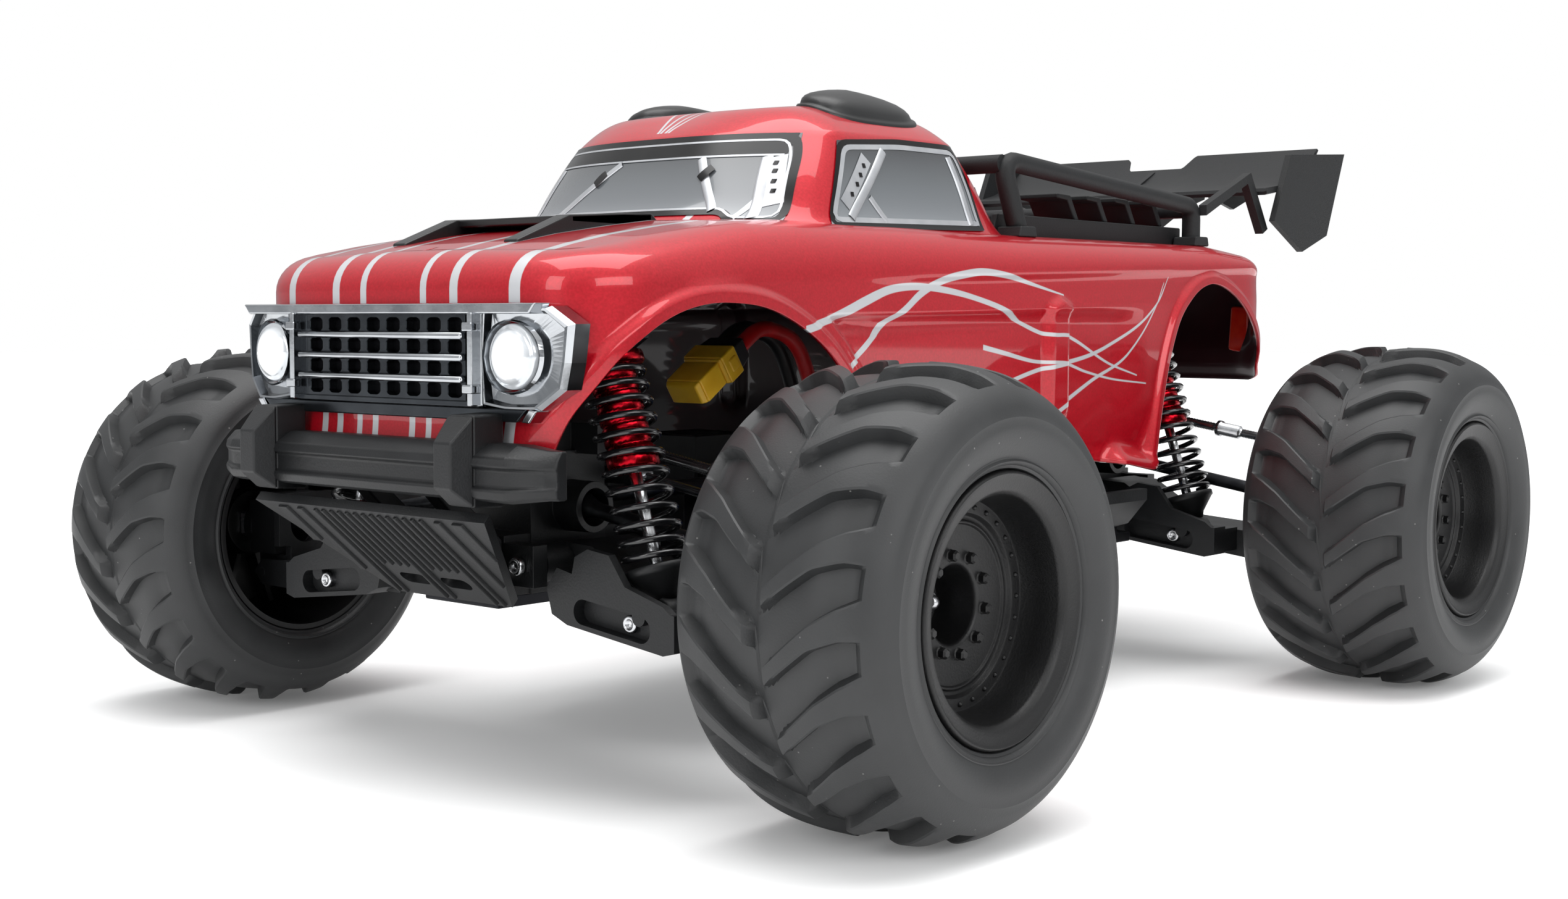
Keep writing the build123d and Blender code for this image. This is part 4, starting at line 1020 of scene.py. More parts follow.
# %% [markdown]
# ## Hood scoop and roof pods
# Both are separate black mouldings screwed to the shell. The scoop is a low roof with two cheeks
# that run out to a point, open at the front. The pods are smooth domes on a thin flange. A ray
# dropped on the cab finds the roof under each point, so the flange follows its crown.

# %% Moulded nylon finishes
nylon, tree, surface = material("moulded_glass_filled_nylon", "#101113", 0.46, Specular_IOR_Level=0.4)
mottle(tree, surface, ("#0e0f10", "#151618"), 16, 0.35, 0.6, (0.38, 0.54))
satin_nylon, tree, surface = material("satin_moulded_nylon", "#0e0f10", 0.36, Specular_IOR_Level=0.5)
mottle(tree, surface, ("#0c0d0e", "#131415"), 20, 0.15, 0.5, (0.3, 0.44))

# %% Scoop
SCOOP_ROOF = [(171, 157.4), (171.2, 159.6), (150, 160.9), (138, 161.2), (135.5, 159.2), (150, 157.2)]
SCOOP_CHEEK = [(192, 150.6), (192, 152.2), (172, 159.7), (150, 160.9), (138, 161.2), (138, 158), (160, 155),
               (178, 152.4)]
scoop = [prism_points(SCOOP_ROOF, "y", -27, 27), prism_points(SCOOP_CHEEK, "y", 21.2, 27),
         prism_points(SCOOP_CHEEK, "y", -27, -21.2)]
scoop_mesh = from_arrays("hood_scoop", *merge(scoop))
publish("hood_scoop", scoop_mesh, satin_nylon, "shell", ["roof_trim"], bevel=0.5)
# A black block fills the scoop's open mouth: painted shade where the mouth is dark.
prism("scoop_mouth_shade_block", [(151, 154), (151, 158.4), (158, 158.2), (171.6, 154.4), (171.6, 152.6)], "y", -22,
      22, black_print, "shell",
      bevel=0.2)

# %% Roof pods
roof_tree = BVHTree.FromPolygons([v.co for v in cab.data.vertices], [p.vertices for p in cab.data.polygons])


def roof_under(x, y):
    """Height of the roof below a point."""
    hit = roof_tree.ray_cast(Vector((x, y, 260)) * MM, Vector((0, 0, -1)))[0]
    return hit.z / MM if hit else 190.0


POD_ROWS = [(1.0, -0.4), (1.0, 0.5), (0.98, 0.95), (0.94, 0.98), (0.92, 1.6), (0.89, 2.9), (0.83, 3.9),
            (0.72, 4.7), (0.55, 5.3), (0.36, 5.7), (0.18, 5.9), (0.02, 6.0)]
pod = []
for share, rise in POD_ROWS:
    for angle in np.linspace(0, 2 * np.pi, 64, endpoint=False):
        c, s = math.cos(angle), math.sin(angle)
        reach = 1 / (abs(c)**3 + abs(s)**3)**(1 / 3)
        lean = 6 * (1 - share) * (rise > 1)
        x, y = 54.2 + lean + 24.8 * share * reach * c, 38.4 + 11 * share * reach * s
        pod.append((x, y, roof_under(x, y) + rise * (1
                                                     if rise < 1 else np.interp(x, [30, 60, 80], [0.86, 1, 0.94]))))
shape = merge(both_sides([(pod, grid_faces(len(POD_ROWS), 64, wrap=True))]))
publish("roof_pods", from_arrays("roof_pods", *shape), satin_nylon, "shell")
print("scoop and two pods ready")

# %% [markdown]
# ## Grille and lamps
# On the real truck this is one plated moulding: a smoked chrome plate pierced by four rows of eight
# rounded windows, three bright rods in front of it, and a faceted bezel round each lamp. A boolean
# would cut the windows, but leaves messy faces, so each window is a small frame of quads that
# meets its neighbours. The bezels blend an eight-sided outline into a circle.

# %% Plated finishes
LAMP_Y, LAMP_Z = 51.6, 120.5
chrome, tree, surface = material("vacuum_plated_abs", "#b4b7bb", 0.12, Metallic=1.0)
mottle(tree, surface, ("#a9acb0", "#bfc2c5"), 12, 0.04, 2.0, (0.08, 0.2))
smoked, tree, surface = material("smoked_plated_abs", "#33363a", 0.2, Metallic=0.9)
mottle(tree, surface, ("#2b2e32", "#3d4145"), 10, 0.05, 1.5, (0.16, 0.3))
lit_lamp, tree, surface = material("clear_lens_over_lit_reflector", "#c9cdd2", 0.12, Coat_Weight=0.6,
                                   Metallic=0.4)
surface.inputs["Emission Color"].default_value = srgb("#ffffff")
mottle(tree, surface, ("#bfc4c9", "#d8dce0"), 5, 0.05, 1.0, (0.08, 0.16))
place = node(tree, "ShaderNodeTexCoord").outputs["Object"]
folded = node(tree, "ShaderNodeVectorMath", [(0, place)], operation="ABSOLUTE").outputs["Vector"]
aside = node(tree, "ShaderNodeVectorMath", [(0, folded)], operation="SUBTRACT")
aside.inputs[1].default_value = (0, LAMP_Y * MM, LAMP_Z * MM)
flat = node(tree, "ShaderNodeVectorMath", [(0, aside.outputs["Vector"])], operation="MULTIPLY")
flat.inputs[1].default_value = (0, 1, 1)
reach = node(tree, "ShaderNodeVectorMath", [(0, flat.outputs["Vector"])], operation="LENGTH")
glow = node(tree, "ShaderNodeMapRange", [("Value", reach.outputs["Value"])],
            interpolation_type="SMOOTHSTEP")
glow.inputs["From Min"].default_value, glow.inputs["From Max"].default_value = 2.2 * MM, 7.6 * MM
glow.inputs["To Min"].default_value, glow.inputs["To Max"].default_value = 1.6, 0.04
tree.links.new(glow.outputs["Result"], surface.inputs["Emission Strength"])


# %% Pierced plate
def set_back(y):
    """How far the nose curves back at a distance from the middle."""
    return np.interp(abs(y), [40, 52, 60, 70], [0, 0.4, 2.2, 5.5])


def window_cell(y, z, cell, hole, front, back):
    """A frame of quads round one rounded window, with walls going back."""
    rim = [(1, -1), (1, -0.5), (1, 0), (1, 0.5), (1, 1), (0.5, 1), (0, 1), (-0.5, 1), (-1, 1), (-1, 0.5),
           (-1, 0), (-1, -0.5),
           (-1, -1), (-0.5, -1), (0, -1), (0.5, -1)]
    rows = []
    for half, round_off, x in ((cell, 0, front), (hole, 0.35, front), (hole, 0.35, front - 0.25),
                               (hole, 0.35, back)):
        shrink = 0.97 if x == front and round_off else 0.93 if round_off else 1
        for a, b in rim:
            cut = 1 - round_off * 0.55 * (abs(a) == 1) * (abs(b) == 1)
            reach = cut * (shrink if round_off else 1)
            rows.append((x, y + a * half[0] * reach, z + b * half[1] * reach))
    return rows, grid_faces(4, 16, wrap=True)


cells = [window_cell(8.6 * (column - 3.5), 120 + 5.8 * (row - 1.5), (4.3, 2.9), (3.1, 2.1), 217.6, 214.6)
         for column in range(8) for row in range(4)]
plate = from_arrays("grille_plate", *merge(cells))
weld = bmesh.new()
weld.from_mesh(plate)
bmesh.ops.remove_doubles(weld, verts=weld.verts, dist=0.02 * MM)
bmesh.ops.recalc_face_normals(weld, faces=weld.faces)
weld.to_mesh(plate)
weld.free()
publish("grille_plate", plate, smoked, "shell", ["grille_surround"], smooth=False)
# A black sheet behind the windows is painted shade: it stands for the dark cavity behind the grille.
prism("grille_backing", [(-40, 107), (-40, 132.5), (40, 132.5), (40, 107)], "x", 214.25, 214.9, black_print,
      "shell",
      bevel=0.1)
frame_parts = [prism_points([(-40.5, 131.4), (-40.5, 133), (40.5, 133), (40.5, 131.4)], "x", 214.2, 218.2),
               prism_points([(-40.5, 107), (-40.5, 108.6), (40.5, 108.6), (40.5, 107)], "x", 214.2, 218.2)]
frame_parts += both_sides([prism_points([(34.6, 108), (34.6, 132), (38, 132), (38, 108)], "x", 214.2,
                                        217.6)])
publish("grille_frame", from_arrays("grille_frame", *merge(frame_parts)), smoked, "shell",
        bevel=0.3)

# %% Chrome rods, lip and dividers
bright = []
for z in (114.2, 120, 125.8):
    profile = [(-35.6, 0.0), (-35.5, 0.6), (-35.0, 1.0), (35.0, 1.0), (35.5, 0.6), (35.6, 0.0)]
    bright.append((lathe_points(profile, 219.5, 1, 14, z).tolist(), grid_faces(6, 14, wrap=True)))
rods = from_arrays("grille_rods", *merge(bright))
publish("grille_rods", rods, chrome, "shell")
lip = [prism_points([(-63, 134.4), (63, 134.4), (60.5, 131.6), (-60.5, 131.6)], "x", 213.5, 219.3)]
lip += both_sides([prism_points([(37.6, 107.2), (37.6, 132), (39.6, 132), (39.6, 107.2)], "x", 214.2,
                                220.2),
                   prism_points([(39.2, 107.2), (39.2, 132), (41.6, 132), (41.6, 107.2)], "x", 214.2,
                                218.4),
                   prism_points([(36.4, 110.6), (36.4, 113), (40.4, 113), (40.4, 110.6)], "x", 218.2, 221),
                   prism_points([(36.4, 127), (36.4, 129.4), (40.4, 129.4), (40.4, 127)], "x", 218.2, 221),
                   prism_points([(54.5, 103.4), (57.5, 107), (60.5, 106.6), (57.5, 103.2)], "x", 211.6,
                                216.6)])
publish("grille_chrome_trim", from_arrays("grille_chrome_trim", *merge(lip)), chrome, "shell",
        bevel=0.45)
prism("grille_lower_lip", [(-57, 107), (57, 107), (53, 103.4), (-53, 103.4)], "x", 212.6, 216.6, smoked,
      "shell",
      bevel=0.5)

# %% Lamp bezels and lenses
BEZEL = [(41.8, 107.4), (41.8, 133.4), (63.3, 133.6), (69.7, 129), (68.6, 119), (67.3, 112), (60, 106.4),
         (50, 106.6)]
bezel = []
outline = np.array([spot for a, b in zip(BEZEL, BEZEL[1:] + BEZEL[:1])
                    for spot in np.linspace(a, b, 6, endpoint=False)])
angles = np.arctan2(outline[:, 1] - LAMP_Z, outline[:, 0] - LAMP_Y)
circle = np.column_stack([LAMP_Y + 9.3 * np.cos(angles), LAMP_Z + 9.3 * np.sin(angles)])
DISH = ((0, 211.5), (0, 216.8), (0.1, 218.4), (0.2, 218.2), (0.34, 216.0), (0.84, 215.6), (0.88, 217.8),
        (0.96, 218.6), (1.02, 218.2),
        (1.06, 215.4))
for share, x in DISH:
    line = outline + (circle - outline) * share
    bezel += [(x - set_back(y), y, z) for y, z in line]
rings = merge(both_sides([(bezel, grid_faces(len(DISH), len(outline), wrap=True, flip=True))]))
bezels = publish("lamp_bezels", from_arrays("lamp_bezels", *rings), [chrome, smoked], "shell",
                 smooth=False)
for number, face in enumerate(bezels.data.polygons):
    face.material_index = int(number // len(outline) % (len(DISH) - 1) in (3, 7))


def forward_lathe(profile, turns=48):
    """A (x, radius) profile spun about the lamp's own axis."""
    points = [(x, LAMP_Y + r * math.cos(a), LAMP_Z + r * math.sin(a)) for x, r in profile
              for a in np.linspace(0, 2 * np.pi, turns, endpoint=False)]
    return points, grid_faces(len(profile), turns, wrap=True)


lens = forward_lathe([(214.6, 8.7), (216.6, 8.6), (217.2, 8.2), (217.0, 7.6), (217.9, 7.1), (218.8, 5.4),
                      (219.2, 3.4),
                      (219.4, 1.6), (219.5, 0.05)])
publish("lamp_lenses", from_arrays("lamp_lenses", *merge(both_sides([lens]))), lit_lamp, "shell",
        ["headlight_lenses"])
print("grille: 32 windows,", len(rings[1]), "bezel faces")

# %% [markdown]
# ## Bumper and skid plate
# The bumper is a thick nylon moulding: a bar with a bevelled top and a shallow band along its
# front, thinner towards its ends, and two proud uprights. A section of the bar is swept along Y
# and pressed back at the ends. The skid plate keeps the CAD's own plate, with long ribs added down
# its slope.

# %% Bumper bar and uprights
SECTION = [(215.6, 83), (215.6, 98), (221.5, 98), (226.6, 95), (227.6, 92.6), (226.0, 91.6), (226.0, 87.4),
           (227.6, 86.4),
           (226.8, 84), (223.5, 83)]
stations = [(-71, 0.34), (-68.5, 0.58), (-59, 1.0), (59, 1.0), (68.5, 0.58), (71, 0.34)]
bumper = []
for y, depth in stations:
    lift = 1 - 0.15 * (abs(y) > 60)
    bumper += [(215.6 + (x - 215.6) * depth, y, 90.5 + (z - 90.5) * lift) for x, z in SECTION]
faces = grid_faces(len(stations), len(SECTION), wrap=True)
faces += [tuple(range(len(SECTION)))[::-1], tuple(len(bumper) - len(SECTION) + i
                                                  for i in range(len(SECTION)))]
parts = [(bumper, faces)]


def tapered_block(x0, face0, x1, face1):
    """A block between two (y0, y1, z0, z1) faces at x0 and x1."""
    points = [(x, y, z) for x, (y0, y1, z0, z1) in ((x0, face0), (x1, face1))
              for y, z in ((y0, z0), (y1, z0), (y1, z1), (y0, z1))]
    return points, [(3, 2, 1, 0), (4, 5, 6, 7)] + [(i, (i + 1) % 4, 4 + (i + 1) % 4, 4 + i)
                                                   for i in range(4)]


parts += both_sides([tapered_block(216, (37.5, 47.5, 81, 105.6), 226.5, (37.5, 47.5, 81.5, 105.4)),
                     tapered_block(226.5, (37.5, 47.5, 81.5, 105.4), 233.3, (39.2, 46, 86.5, 98.5)),
                     tapered_block(190, (12, 18, 58, 68), 216, (12, 18, 84, 90.5))])
shape = sound(from_arrays("bumper_moulding", *merge(parts)))
publish("bumper_moulding", shape, nylon, "chassis", ["front_bumper"], bevel=0.9)

# %% Skid ribs
slope, up = np.array([0.649, 0, -0.761]), np.array([0.761, 0, 0.649])
start = np.array([206.6, 0, 65.6])
ribs = []
for y, half in [(y, 0.9) for y in np.linspace(-23, 23, 14)] + [(-38, 2.4), (-30, 1.6), (30, 1.6),
                                                               (38, 2.4)]:
    low = -20 if abs(y) < 24 else -20 + (abs(y) - 24) * 41 / 24
    low = max(low, -5) if abs(abs(y) - 9) < 7.2 else low
    corners = [start + up * run + slope * rise + np.array([0, y + side, 0])
               for run in (low, 20.5) for rise, side in ((2.8, -half), (3.8, -half + 0.4),
                                                         (3.8, half - 0.4), (2.8, half))]
    ribs.append(([tuple(c) for c in corners],
                 [(0, 1, 2, 3), (7, 6, 5, 4), (0, 4, 5, 1), (1, 5, 6, 2), (2, 6, 7, 3), (3, 7, 4, 0)]))
publish("skid_ribs", from_arrays("skid_ribs", *merge(ribs)), nylon, "chassis", bevel=0.3)
print("bumper and", len(ribs), "skid ribs ready")

# %% [markdown]
# ## Dressing the CAD's own shapes
# Many chassis pieces already have the right shape in the CAD, but with razor edges, which no
# moulding has. Moving the CAD's mesh is not allowed, so each is copied, its flat faces are joined
# again into clean polygons, and a small bevel rounds the edges. The copy stands for the CAD node.

# %% Softened copies
def dressed(node_name, piece_name, finish, body, bevel=0.45, replace=True):
    """A copy of a CAD node with clean faces and softened edges."""
    copy = bmesh.new()
    copy.from_mesh(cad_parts[node_name].data)
    bmesh.ops.remove_doubles(copy, verts=copy.verts, dist=0.004 * MM)
    bmesh.ops.dissolve_limit(copy, angle_limit=math.radians(0.6), verts=copy.verts, edges=copy.edges)
    bmesh.ops.recalc_face_normals(copy, faces=copy.faces)
    mesh = bpy.data.meshes.new(piece_name)
    copy.to_mesh(mesh)
    copy.free()
    if "custom_normal" in mesh.attributes:
        mesh.attributes.remove(mesh.attributes["custom_normal"])
    return publish(piece_name, mesh, finish, body, [node_name] if replace else [], bevel=bevel)


# %% [markdown]
# ## Bed cage and wing
# Behind the cab a cage of round tube stands on the bed: a leaning hoop, a long sloping rail each
# side and a low rear bar, all black nylon. The tubes have soft bends, so they follow a path with
# rounded corners. The wing is one moulded blade with a notch in its middle, held by two fins.

# %% Cage tubes and bed rails
matt_nylon, tree, surface = material("matt_moulded_nylon", "#131415", 0.6, Specular_IOR_Level=0.35)
mottle(tree, surface, ("#111213", "#17181a"), 14, 0.4, 0.6, (0.52, 0.68))
TUBE_R = 3.4
for side in ("left", "right"):
    sign = 1 if side == "left" else -1
    rail = rounded([(-5, sign * 60.5, 161), (5, sign * 60.5, 183), (-125, sign * 60.5, 172.5),
                    (-125, sign * 60.5, 161)], 9, 7)
    bar(f"cage_rail_{side}", rail, TUBE_R, matt_nylon, "shell", ["roll_cage"])
for name, x, z in (("cage_front_bar", 4, 181.6), ("cage_rear_bar", -124.5, 171.2)):
    bar(name, [(x, y, z) for y in np.linspace(-60.5, 60.5, 9)], TUBE_R - 0.3, matt_nylon, "shell")

bed = [prism_points([(-127, 157.4), (-127, 164.6), (-2, 165.6), (2, 157.4)], "y", 52.4, 55),
       prism_points([(-127, 158.2), (-127, 162.6), (-118, 162.6), (-118, 158.2)], "y", 0, 54)]
bed += [prism_points([(x, 158.6), (x, 162), (x + 9, 162), (x + 9, 158.6)], "y", 0, 54)
        for x in range(-103, -5, 20)]
bed += [prism_points([(x - 5.5, 157.4), (x - 4.5, 161), (x + 4.5, 161), (x + 5.5, 157.4)], "y", 55.6, 65.4)
        for x in (-125, -5)]
bed += [prism_points([(x, 165), (x + 3, 165), (x + 8, 172), (x + 15, 172.6), (x + 15, 174.4), (x + 6, 174)],
                     "y", 36, 52.5)
        for x in (-118, -98, -78, -58)]
publish("bed_tray", from_arrays("bed_tray", *merge(both_sides(bed))), matt_nylon, "shell",
        bevel=0.6)

# %% Wing
CHORD = [(-168, 178.5), (-167.4, 179.8), (-168, 181.2), (-177, 182.6), (-186, 184.6), (-194, 187.4),
         (-201, 191), (-207, 195.4),
         (-211.4, 199.2), (-212.8, 198.6), (-208, 193.0), (-202, 187.8), (-194.6, 184.2), (-187, 181.9),
         (-177, 179.8)]
blade = []
spans = [-70, -69, -16.5, -15.5, -13, -12, 12, 13, 15.5, 16.5, 69, 70]
for y in spans:
    pinch = 0.86 if abs(y) > 69.5 else 1
    notch = np.interp(abs(y), [12.5, 16], [1, 0])
    for x, z in CHORD:
        reach = max(-205.5, x) if notch > 0 else x
        x, z = x + (reach - x) * notch, z + (min(z, 193.6) - z) * notch
        blade.append((x, y, 182 + (z - 182) * (1 if x < -180 else pinch)))
blade_faces = grid_faces(len(spans), len(CHORD), wrap=True)
blade_faces += [tuple(range(len(CHORD)))[::-1], tuple(len(blade) - len(CHORD) + i
                                                      for i in range(len(CHORD)))]
wing = [(blade, blade_faces)]
PLATE = [(-183.5, 195), (-170.5, 168.4), (-195.5, 156.8), (-217.5, 163.9), (-232.5, 198)]
FIN = [(-135, 159.5), (-148, 157.5), (-172, 168), (-190, 176), (-205, 180), (-210, 196), (-202, 190),
       (-187, 182),
       (-168, 179), (-150, 172)]
wing += both_sides([prism_points(PLATE, "y", 69.7, 72.2), prism_points(FIN, "y", 21.4, 23.6),
                    prism_points([(-168, 178.5), (-187, 174.4), (-205, 180.5), (-210, 196), (-187, 182)],
                                 "y", 44.4, 46.2),
                    prism_points([(-126, 169), (-159, 182.5), (-172.5, 163.5), (-176.5, 165.5),
                                  (-161.5, 187), (-126, 173)], "y", 63, 66.4),
                    prism_points([(-150, 156.5), (-134, 158.3), (-134, 160.6), (-150, 160.6)], "y", 18,
                                 27)])
wing.append(prism_points([(-168, 181), (-186, 184.6), (-203, 192.6), (-203, 190), (-186, 183), (-168, 180)],
                         "y", -1.2, 1.2))
shape = sound(from_arrays("wing_moulding", *merge(wing)))
publish("wing_moulding", shape, matt_nylon, "shell", ["rear_wing"], bevel=0.5)
print("cage, bed and wing ready")

# %% [markdown]
# ## Suspension
# Each corner has a moulded lower arm, a steel turnbuckle above it, a hub carrier, a dog-bone shaft
# and an oil-filled shock with a coil spring. The arm and carrier are softened copies of the CAD.
# The shock is turned metal, so it is a profile spun about the leaning line between its two eyes.
# The spring is a wire along a helix, its turns a little closer together at both ends.

# %% Suspension finishes
arm_nylon, tree, surface = material("moulded_suspension_nylon", "#131415", 0.5, Specular_IOR_Level=0.4)
mottle(tree, surface, ("#111213", "#18191b"), 12, 0.35, 0.6, (0.42, 0.58))
red_anodised, tree, surface = material("red_anodised_aluminium", "#b3101f", 0.28, Metallic=1.0)
mottle(tree, surface, ("#a60d1b", "#c21727"), 4, 0.08, 0.4, (0.2, 0.34))
spring_wire, tree, surface = material("black_enamelled_spring_steel", "#0e0e10", 0.22, Coat_Weight=0.6)
mottle(tree, surface, ("#0c0c0e", "#151517"), 6, 0.05, 0.5, (0.16, 0.3))
bright_steel, tree, surface = material("ground_bright_steel", "#c4c6c8", 0.22, Metallic=1.0)
mottle(tree, surface, ("#b8babd", "#d2d3d5"), 5, 0.06, 0.4, (0.16, 0.3))
dark_steel, tree, surface = material("gunmetal_hardened_steel", "#55575b", 0.34, Metallic=1.0)
mottle(tree, surface, ("#4a4c50", "#64666a"), 6, 0.08, 0.5, (0.26, 0.42))

# %% Shock geometry
SHOCK_TOP, SHOCK_BOTTOM, SHOCK_AHEAD = np.array([43.7, 131.0]), np.array([69.7, 51.0]), 14.0
shock_run = SHOCK_BOTTOM - SHOCK_TOP
shock_run = shock_run / np.linalg.norm(shock_run)


def shock_place(axle, sign, distance, radius, angle):
    """A point beside the shock's centre line, measured down from its top eye."""
    y, z = SHOCK_TOP + shock_run * distance
    x = axle + SHOCK_AHEAD + radius * math.cos(angle)
    return x, sign * (y - shock_run[1] * radius * math.sin(angle)), z + shock_run[0] * radius * math.sin(angle)


def turned(axle, sign, profile, turns=40, ridges=0, depth=0.0):
    """A (distance, radius) profile spun about the shock's line; ridges knurl it."""
    points = []
    for distance, radius in profile:
        for step in range(turns):
            angle = 2 * math.pi * step / turns
            knurl = depth * (step % 2) if ridges and radius > 6 else 0
            points.append(shock_place(axle, sign, distance, radius - knurl, angle))
    return points, grid_faces(len(profile), turns, wrap=True, flip=sign > 0)


def eye(axle, sign, centre, radius, half, bore):
    """A ring whose axis runs along X."""
    profile = [(-half, bore), (-half, radius - 0.4), (-half + 0.4, radius), (half - 0.4, radius),
               (half, radius - 0.4), (half, bore),
               (-half, bore)]
    points = [(axle + SHOCK_AHEAD + a, sign * (centre[0] + r * math.cos(t)), centre[1] + r * math.sin(t))
              for a, r in profile for t in np.linspace(0, 2 * np.pi, 28, endpoint=False)]
    return points, grid_faces(len(profile), 28, wrap=True)


GROOVES = [(d + o, r) for d in range(17, 38, 3) for o,
           r in ((0, 6.5), (1.7, 6.5), (1.95, 6.05), (2.65, 6.05), (2.9, 6.5))]
BODY = [(3.2, 0.1), (3.2, 4.2), (4.2, 5.2), (9.8, 5.4), (10.4, 6.2), (11.6, 6.5), (11.9, 9.2), (12.3, 9.6),
        (14.7, 9.6),
        (15.1, 9.2), (15.1, 6.5), *GROOVES, (38.4, 6.5), (38.8, 7.3), (43.6, 7.3), (44.0, 6.8), (44.0, 1.9)]
ROD = [(31, 0.1), (31, 1.75), (71, 1.75), (71, 8.8), (71.3, 9.3), (73.0, 9.3), (73.6, 8.6), (78.5, 4.4),
       (80.5, 3.6),
       (80.5, 0.1)]
TURNS, WIRE_R, COIL_R = 11.5, 1.0, 8.5


def coil(axle, sign):
    """Spring wire as a round tube along a helix with closed ends."""
    points = []
    steps = int(TURNS * 22)
    for step in range(steps + 1):
        share = step / steps
        turn = 2 * math.pi * TURNS * share
        close = 0.5 - 0.5 * math.cos(math.pi * share)
        distance = 16.1 + 53.9 * (0.8 * share + 0.2 * close)
        for side in range(8):
            bend = 2 * math.pi * side / 8
            points.append(shock_place(axle, sign, distance + WIRE_R * math.sin(bend),
                                      COIL_R + WIRE_R * math.cos(bend), turn))
    faces = grid_faces(steps + 1, 8, wrap=True)
    last = steps * 8
    return points, faces + [tuple(range(8))[::-1], tuple(last + i for i in range(8))]


# %% Four shocks
for end, side, axle, sign in CORNERS:
    corner = f"{end}_{side}"
    parts = [turned(axle, sign, BODY, 48, 24, 0.35), eye(axle, sign, SHOCK_TOP, 4.4, 3.4, 1.55)]
    publish(f"shock_can_{corner}", sound(from_arrays("shock_can", *merge(parts))), red_anodised,
            f"damper_{corner}",
            [f"shock_body_{corner}"])
    stem = [turned(axle, sign, ROD[:3])]
    publish(f"shock_stem_{corner}", sound(from_arrays("shock_stem", *merge(stem))), bright_steel,
            f"piston_{corner}",
            [f"shock_rod_{corner}"])
    cup = [turned(axle, sign, [(70.9, 1.8), *ROD[3:]]), eye(axle, sign, SHOCK_BOTTOM, 4.7, 3.4, 2.9)]
    publish(f"spring_cup_{corner}", sound(from_arrays("spring_cup", *merge(cup))), arm_nylon,
            f"piston_{corner}")
    wire = bpy.data.objects.new(f"coil_spring_{corner}",
                                sound(from_arrays("coil_spring", *coil(axle, sign))))
    bpy.context.scene.collection.objects.link(wire)
    wire.data.materials.append(spring_wire)
    wire.data.polygons.foreach_set("use_smooth", [True] * len(wire.data.polygons))
    top, low = shock_place(axle, sign, 16.5, 0, 0), shock_place(axle, sign, 69.5, 0, 0)
    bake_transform(wire)
    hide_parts(f"spring_{corner}")
print("four shocks with", TURNS, "turns of spring each")

# %% Arms, carriers, links and shafts


def sleeve(start, end, profile, turns=20, facets=0):
    """A (share along, radius) profile spun about the line between two points."""
    first, last = Vector(start), Vector(end)
    ahead = (last - first).normalized()
    beside = ahead.cross(Vector((1, 0, 0))).normalized()
    third = ahead.cross(beside)
    points = []
    for share, radius in profile:
        for step in range(turns):
            angle = 2 * math.pi * step / turns
            points.append(tuple(first.lerp(last,
                                           share) + (beside * math.cos(angle) + third * math.sin(angle)) * radius))
    return points, grid_faces(len(profile), turns, wrap=True)


def threaded(low, high, radius, pitch=0.012, depth=0.22):
    """Profile of a rolled thread between two shares of a rod's length."""
    marks = np.arange(low, high, pitch / 2)
    return [(float(share), radius - depth * (index % 2)) for index, share in enumerate(marks)]


TURNBUCKLE = [(0.03, 0.1), (0.03, 2.6), (0.05, 2.9), (0.19, 2.4), (0.2, 1.8), *threaded(0.2, 0.44, 1.75),
              (0.445, 2.2), (0.45, 3.1),
              (0.465, 3.1), (0.47, 2.6), (0.54, 2.6), (0.545, 2.0), *threaded(0.55, 0.8, 1.75), (0.8, 1.8),
              (0.81, 2.4), (0.95, 2.9),
              (0.97, 2.6), (0.97, 0.1)]
for end, side, axle, sign in CORNERS:
    corner = f"{end}_{side}"
    dressed(f"lower_arm_{corner}", f"arm_moulding_{corner}", arm_nylon, f"arm_{corner}",
            0.6)
    dressed(f"hub_carrier_{corner}", f"carrier_moulding_{corner}", arm_nylon, f"carrier_{corner}",
            0.5)
    x = axle - 9.0
    ends = (x, sign * 22.0, 95.0), (x, sign * 120.0, 79.0)
    buckle = sleeve(*ends, TURNBUCKLE)
    publish(f"turnbuckle_{corner}", sound(from_arrays("turnbuckle", *buckle)), bright_steel,
            f"link_{corner}",
            [f"upper_link_{corner}"])
    rings = [([(x + a, place[1] + r * math.cos(t), place[2] + r * math.sin(t)) for a, r in
               ((-2.3, 1.6), (-2.3, 3.6), (-1.9, 3.9), (1.9, 3.9), (2.3, 3.6), (2.3, 1.6), (-2.3, 1.6))
               for t in np.linspace(0, 2 * np.pi, 28, endpoint=False)], grid_faces(7, 28, wrap=True))
               for place in ends]
    publish(f"link_ends_{corner}", sound(from_arrays("link_ends", *merge(rings))), arm_nylon,
            f"link_{corner}")
    first, last = (axle, sign * 24.0, 76.0), (axle, sign * 122.0, 60.0)
    bone = sleeve(first, last, [(-0.04, 0.1), (-0.035, 1.8), (-0.02, 3.4), (0, 4.0), (0.02, 3.4),
                                (0.035, 2.8), (0.06, 2.3), (0.94, 2.3),
                                (0.965, 2.8), (0.98, 3.4), (1, 4.0), (1.02, 3.4), (1.035, 1.8),
                                (1.04, 0.1)], 24)
    publish(f"dog_bone_{corner}", sound(from_arrays("dog_bone", *bone)), dark_steel, f"half_shaft_{corner}",
            [f"drive_shaft_{corner}"])
print("arms, carriers, turnbuckles and shafts ready")

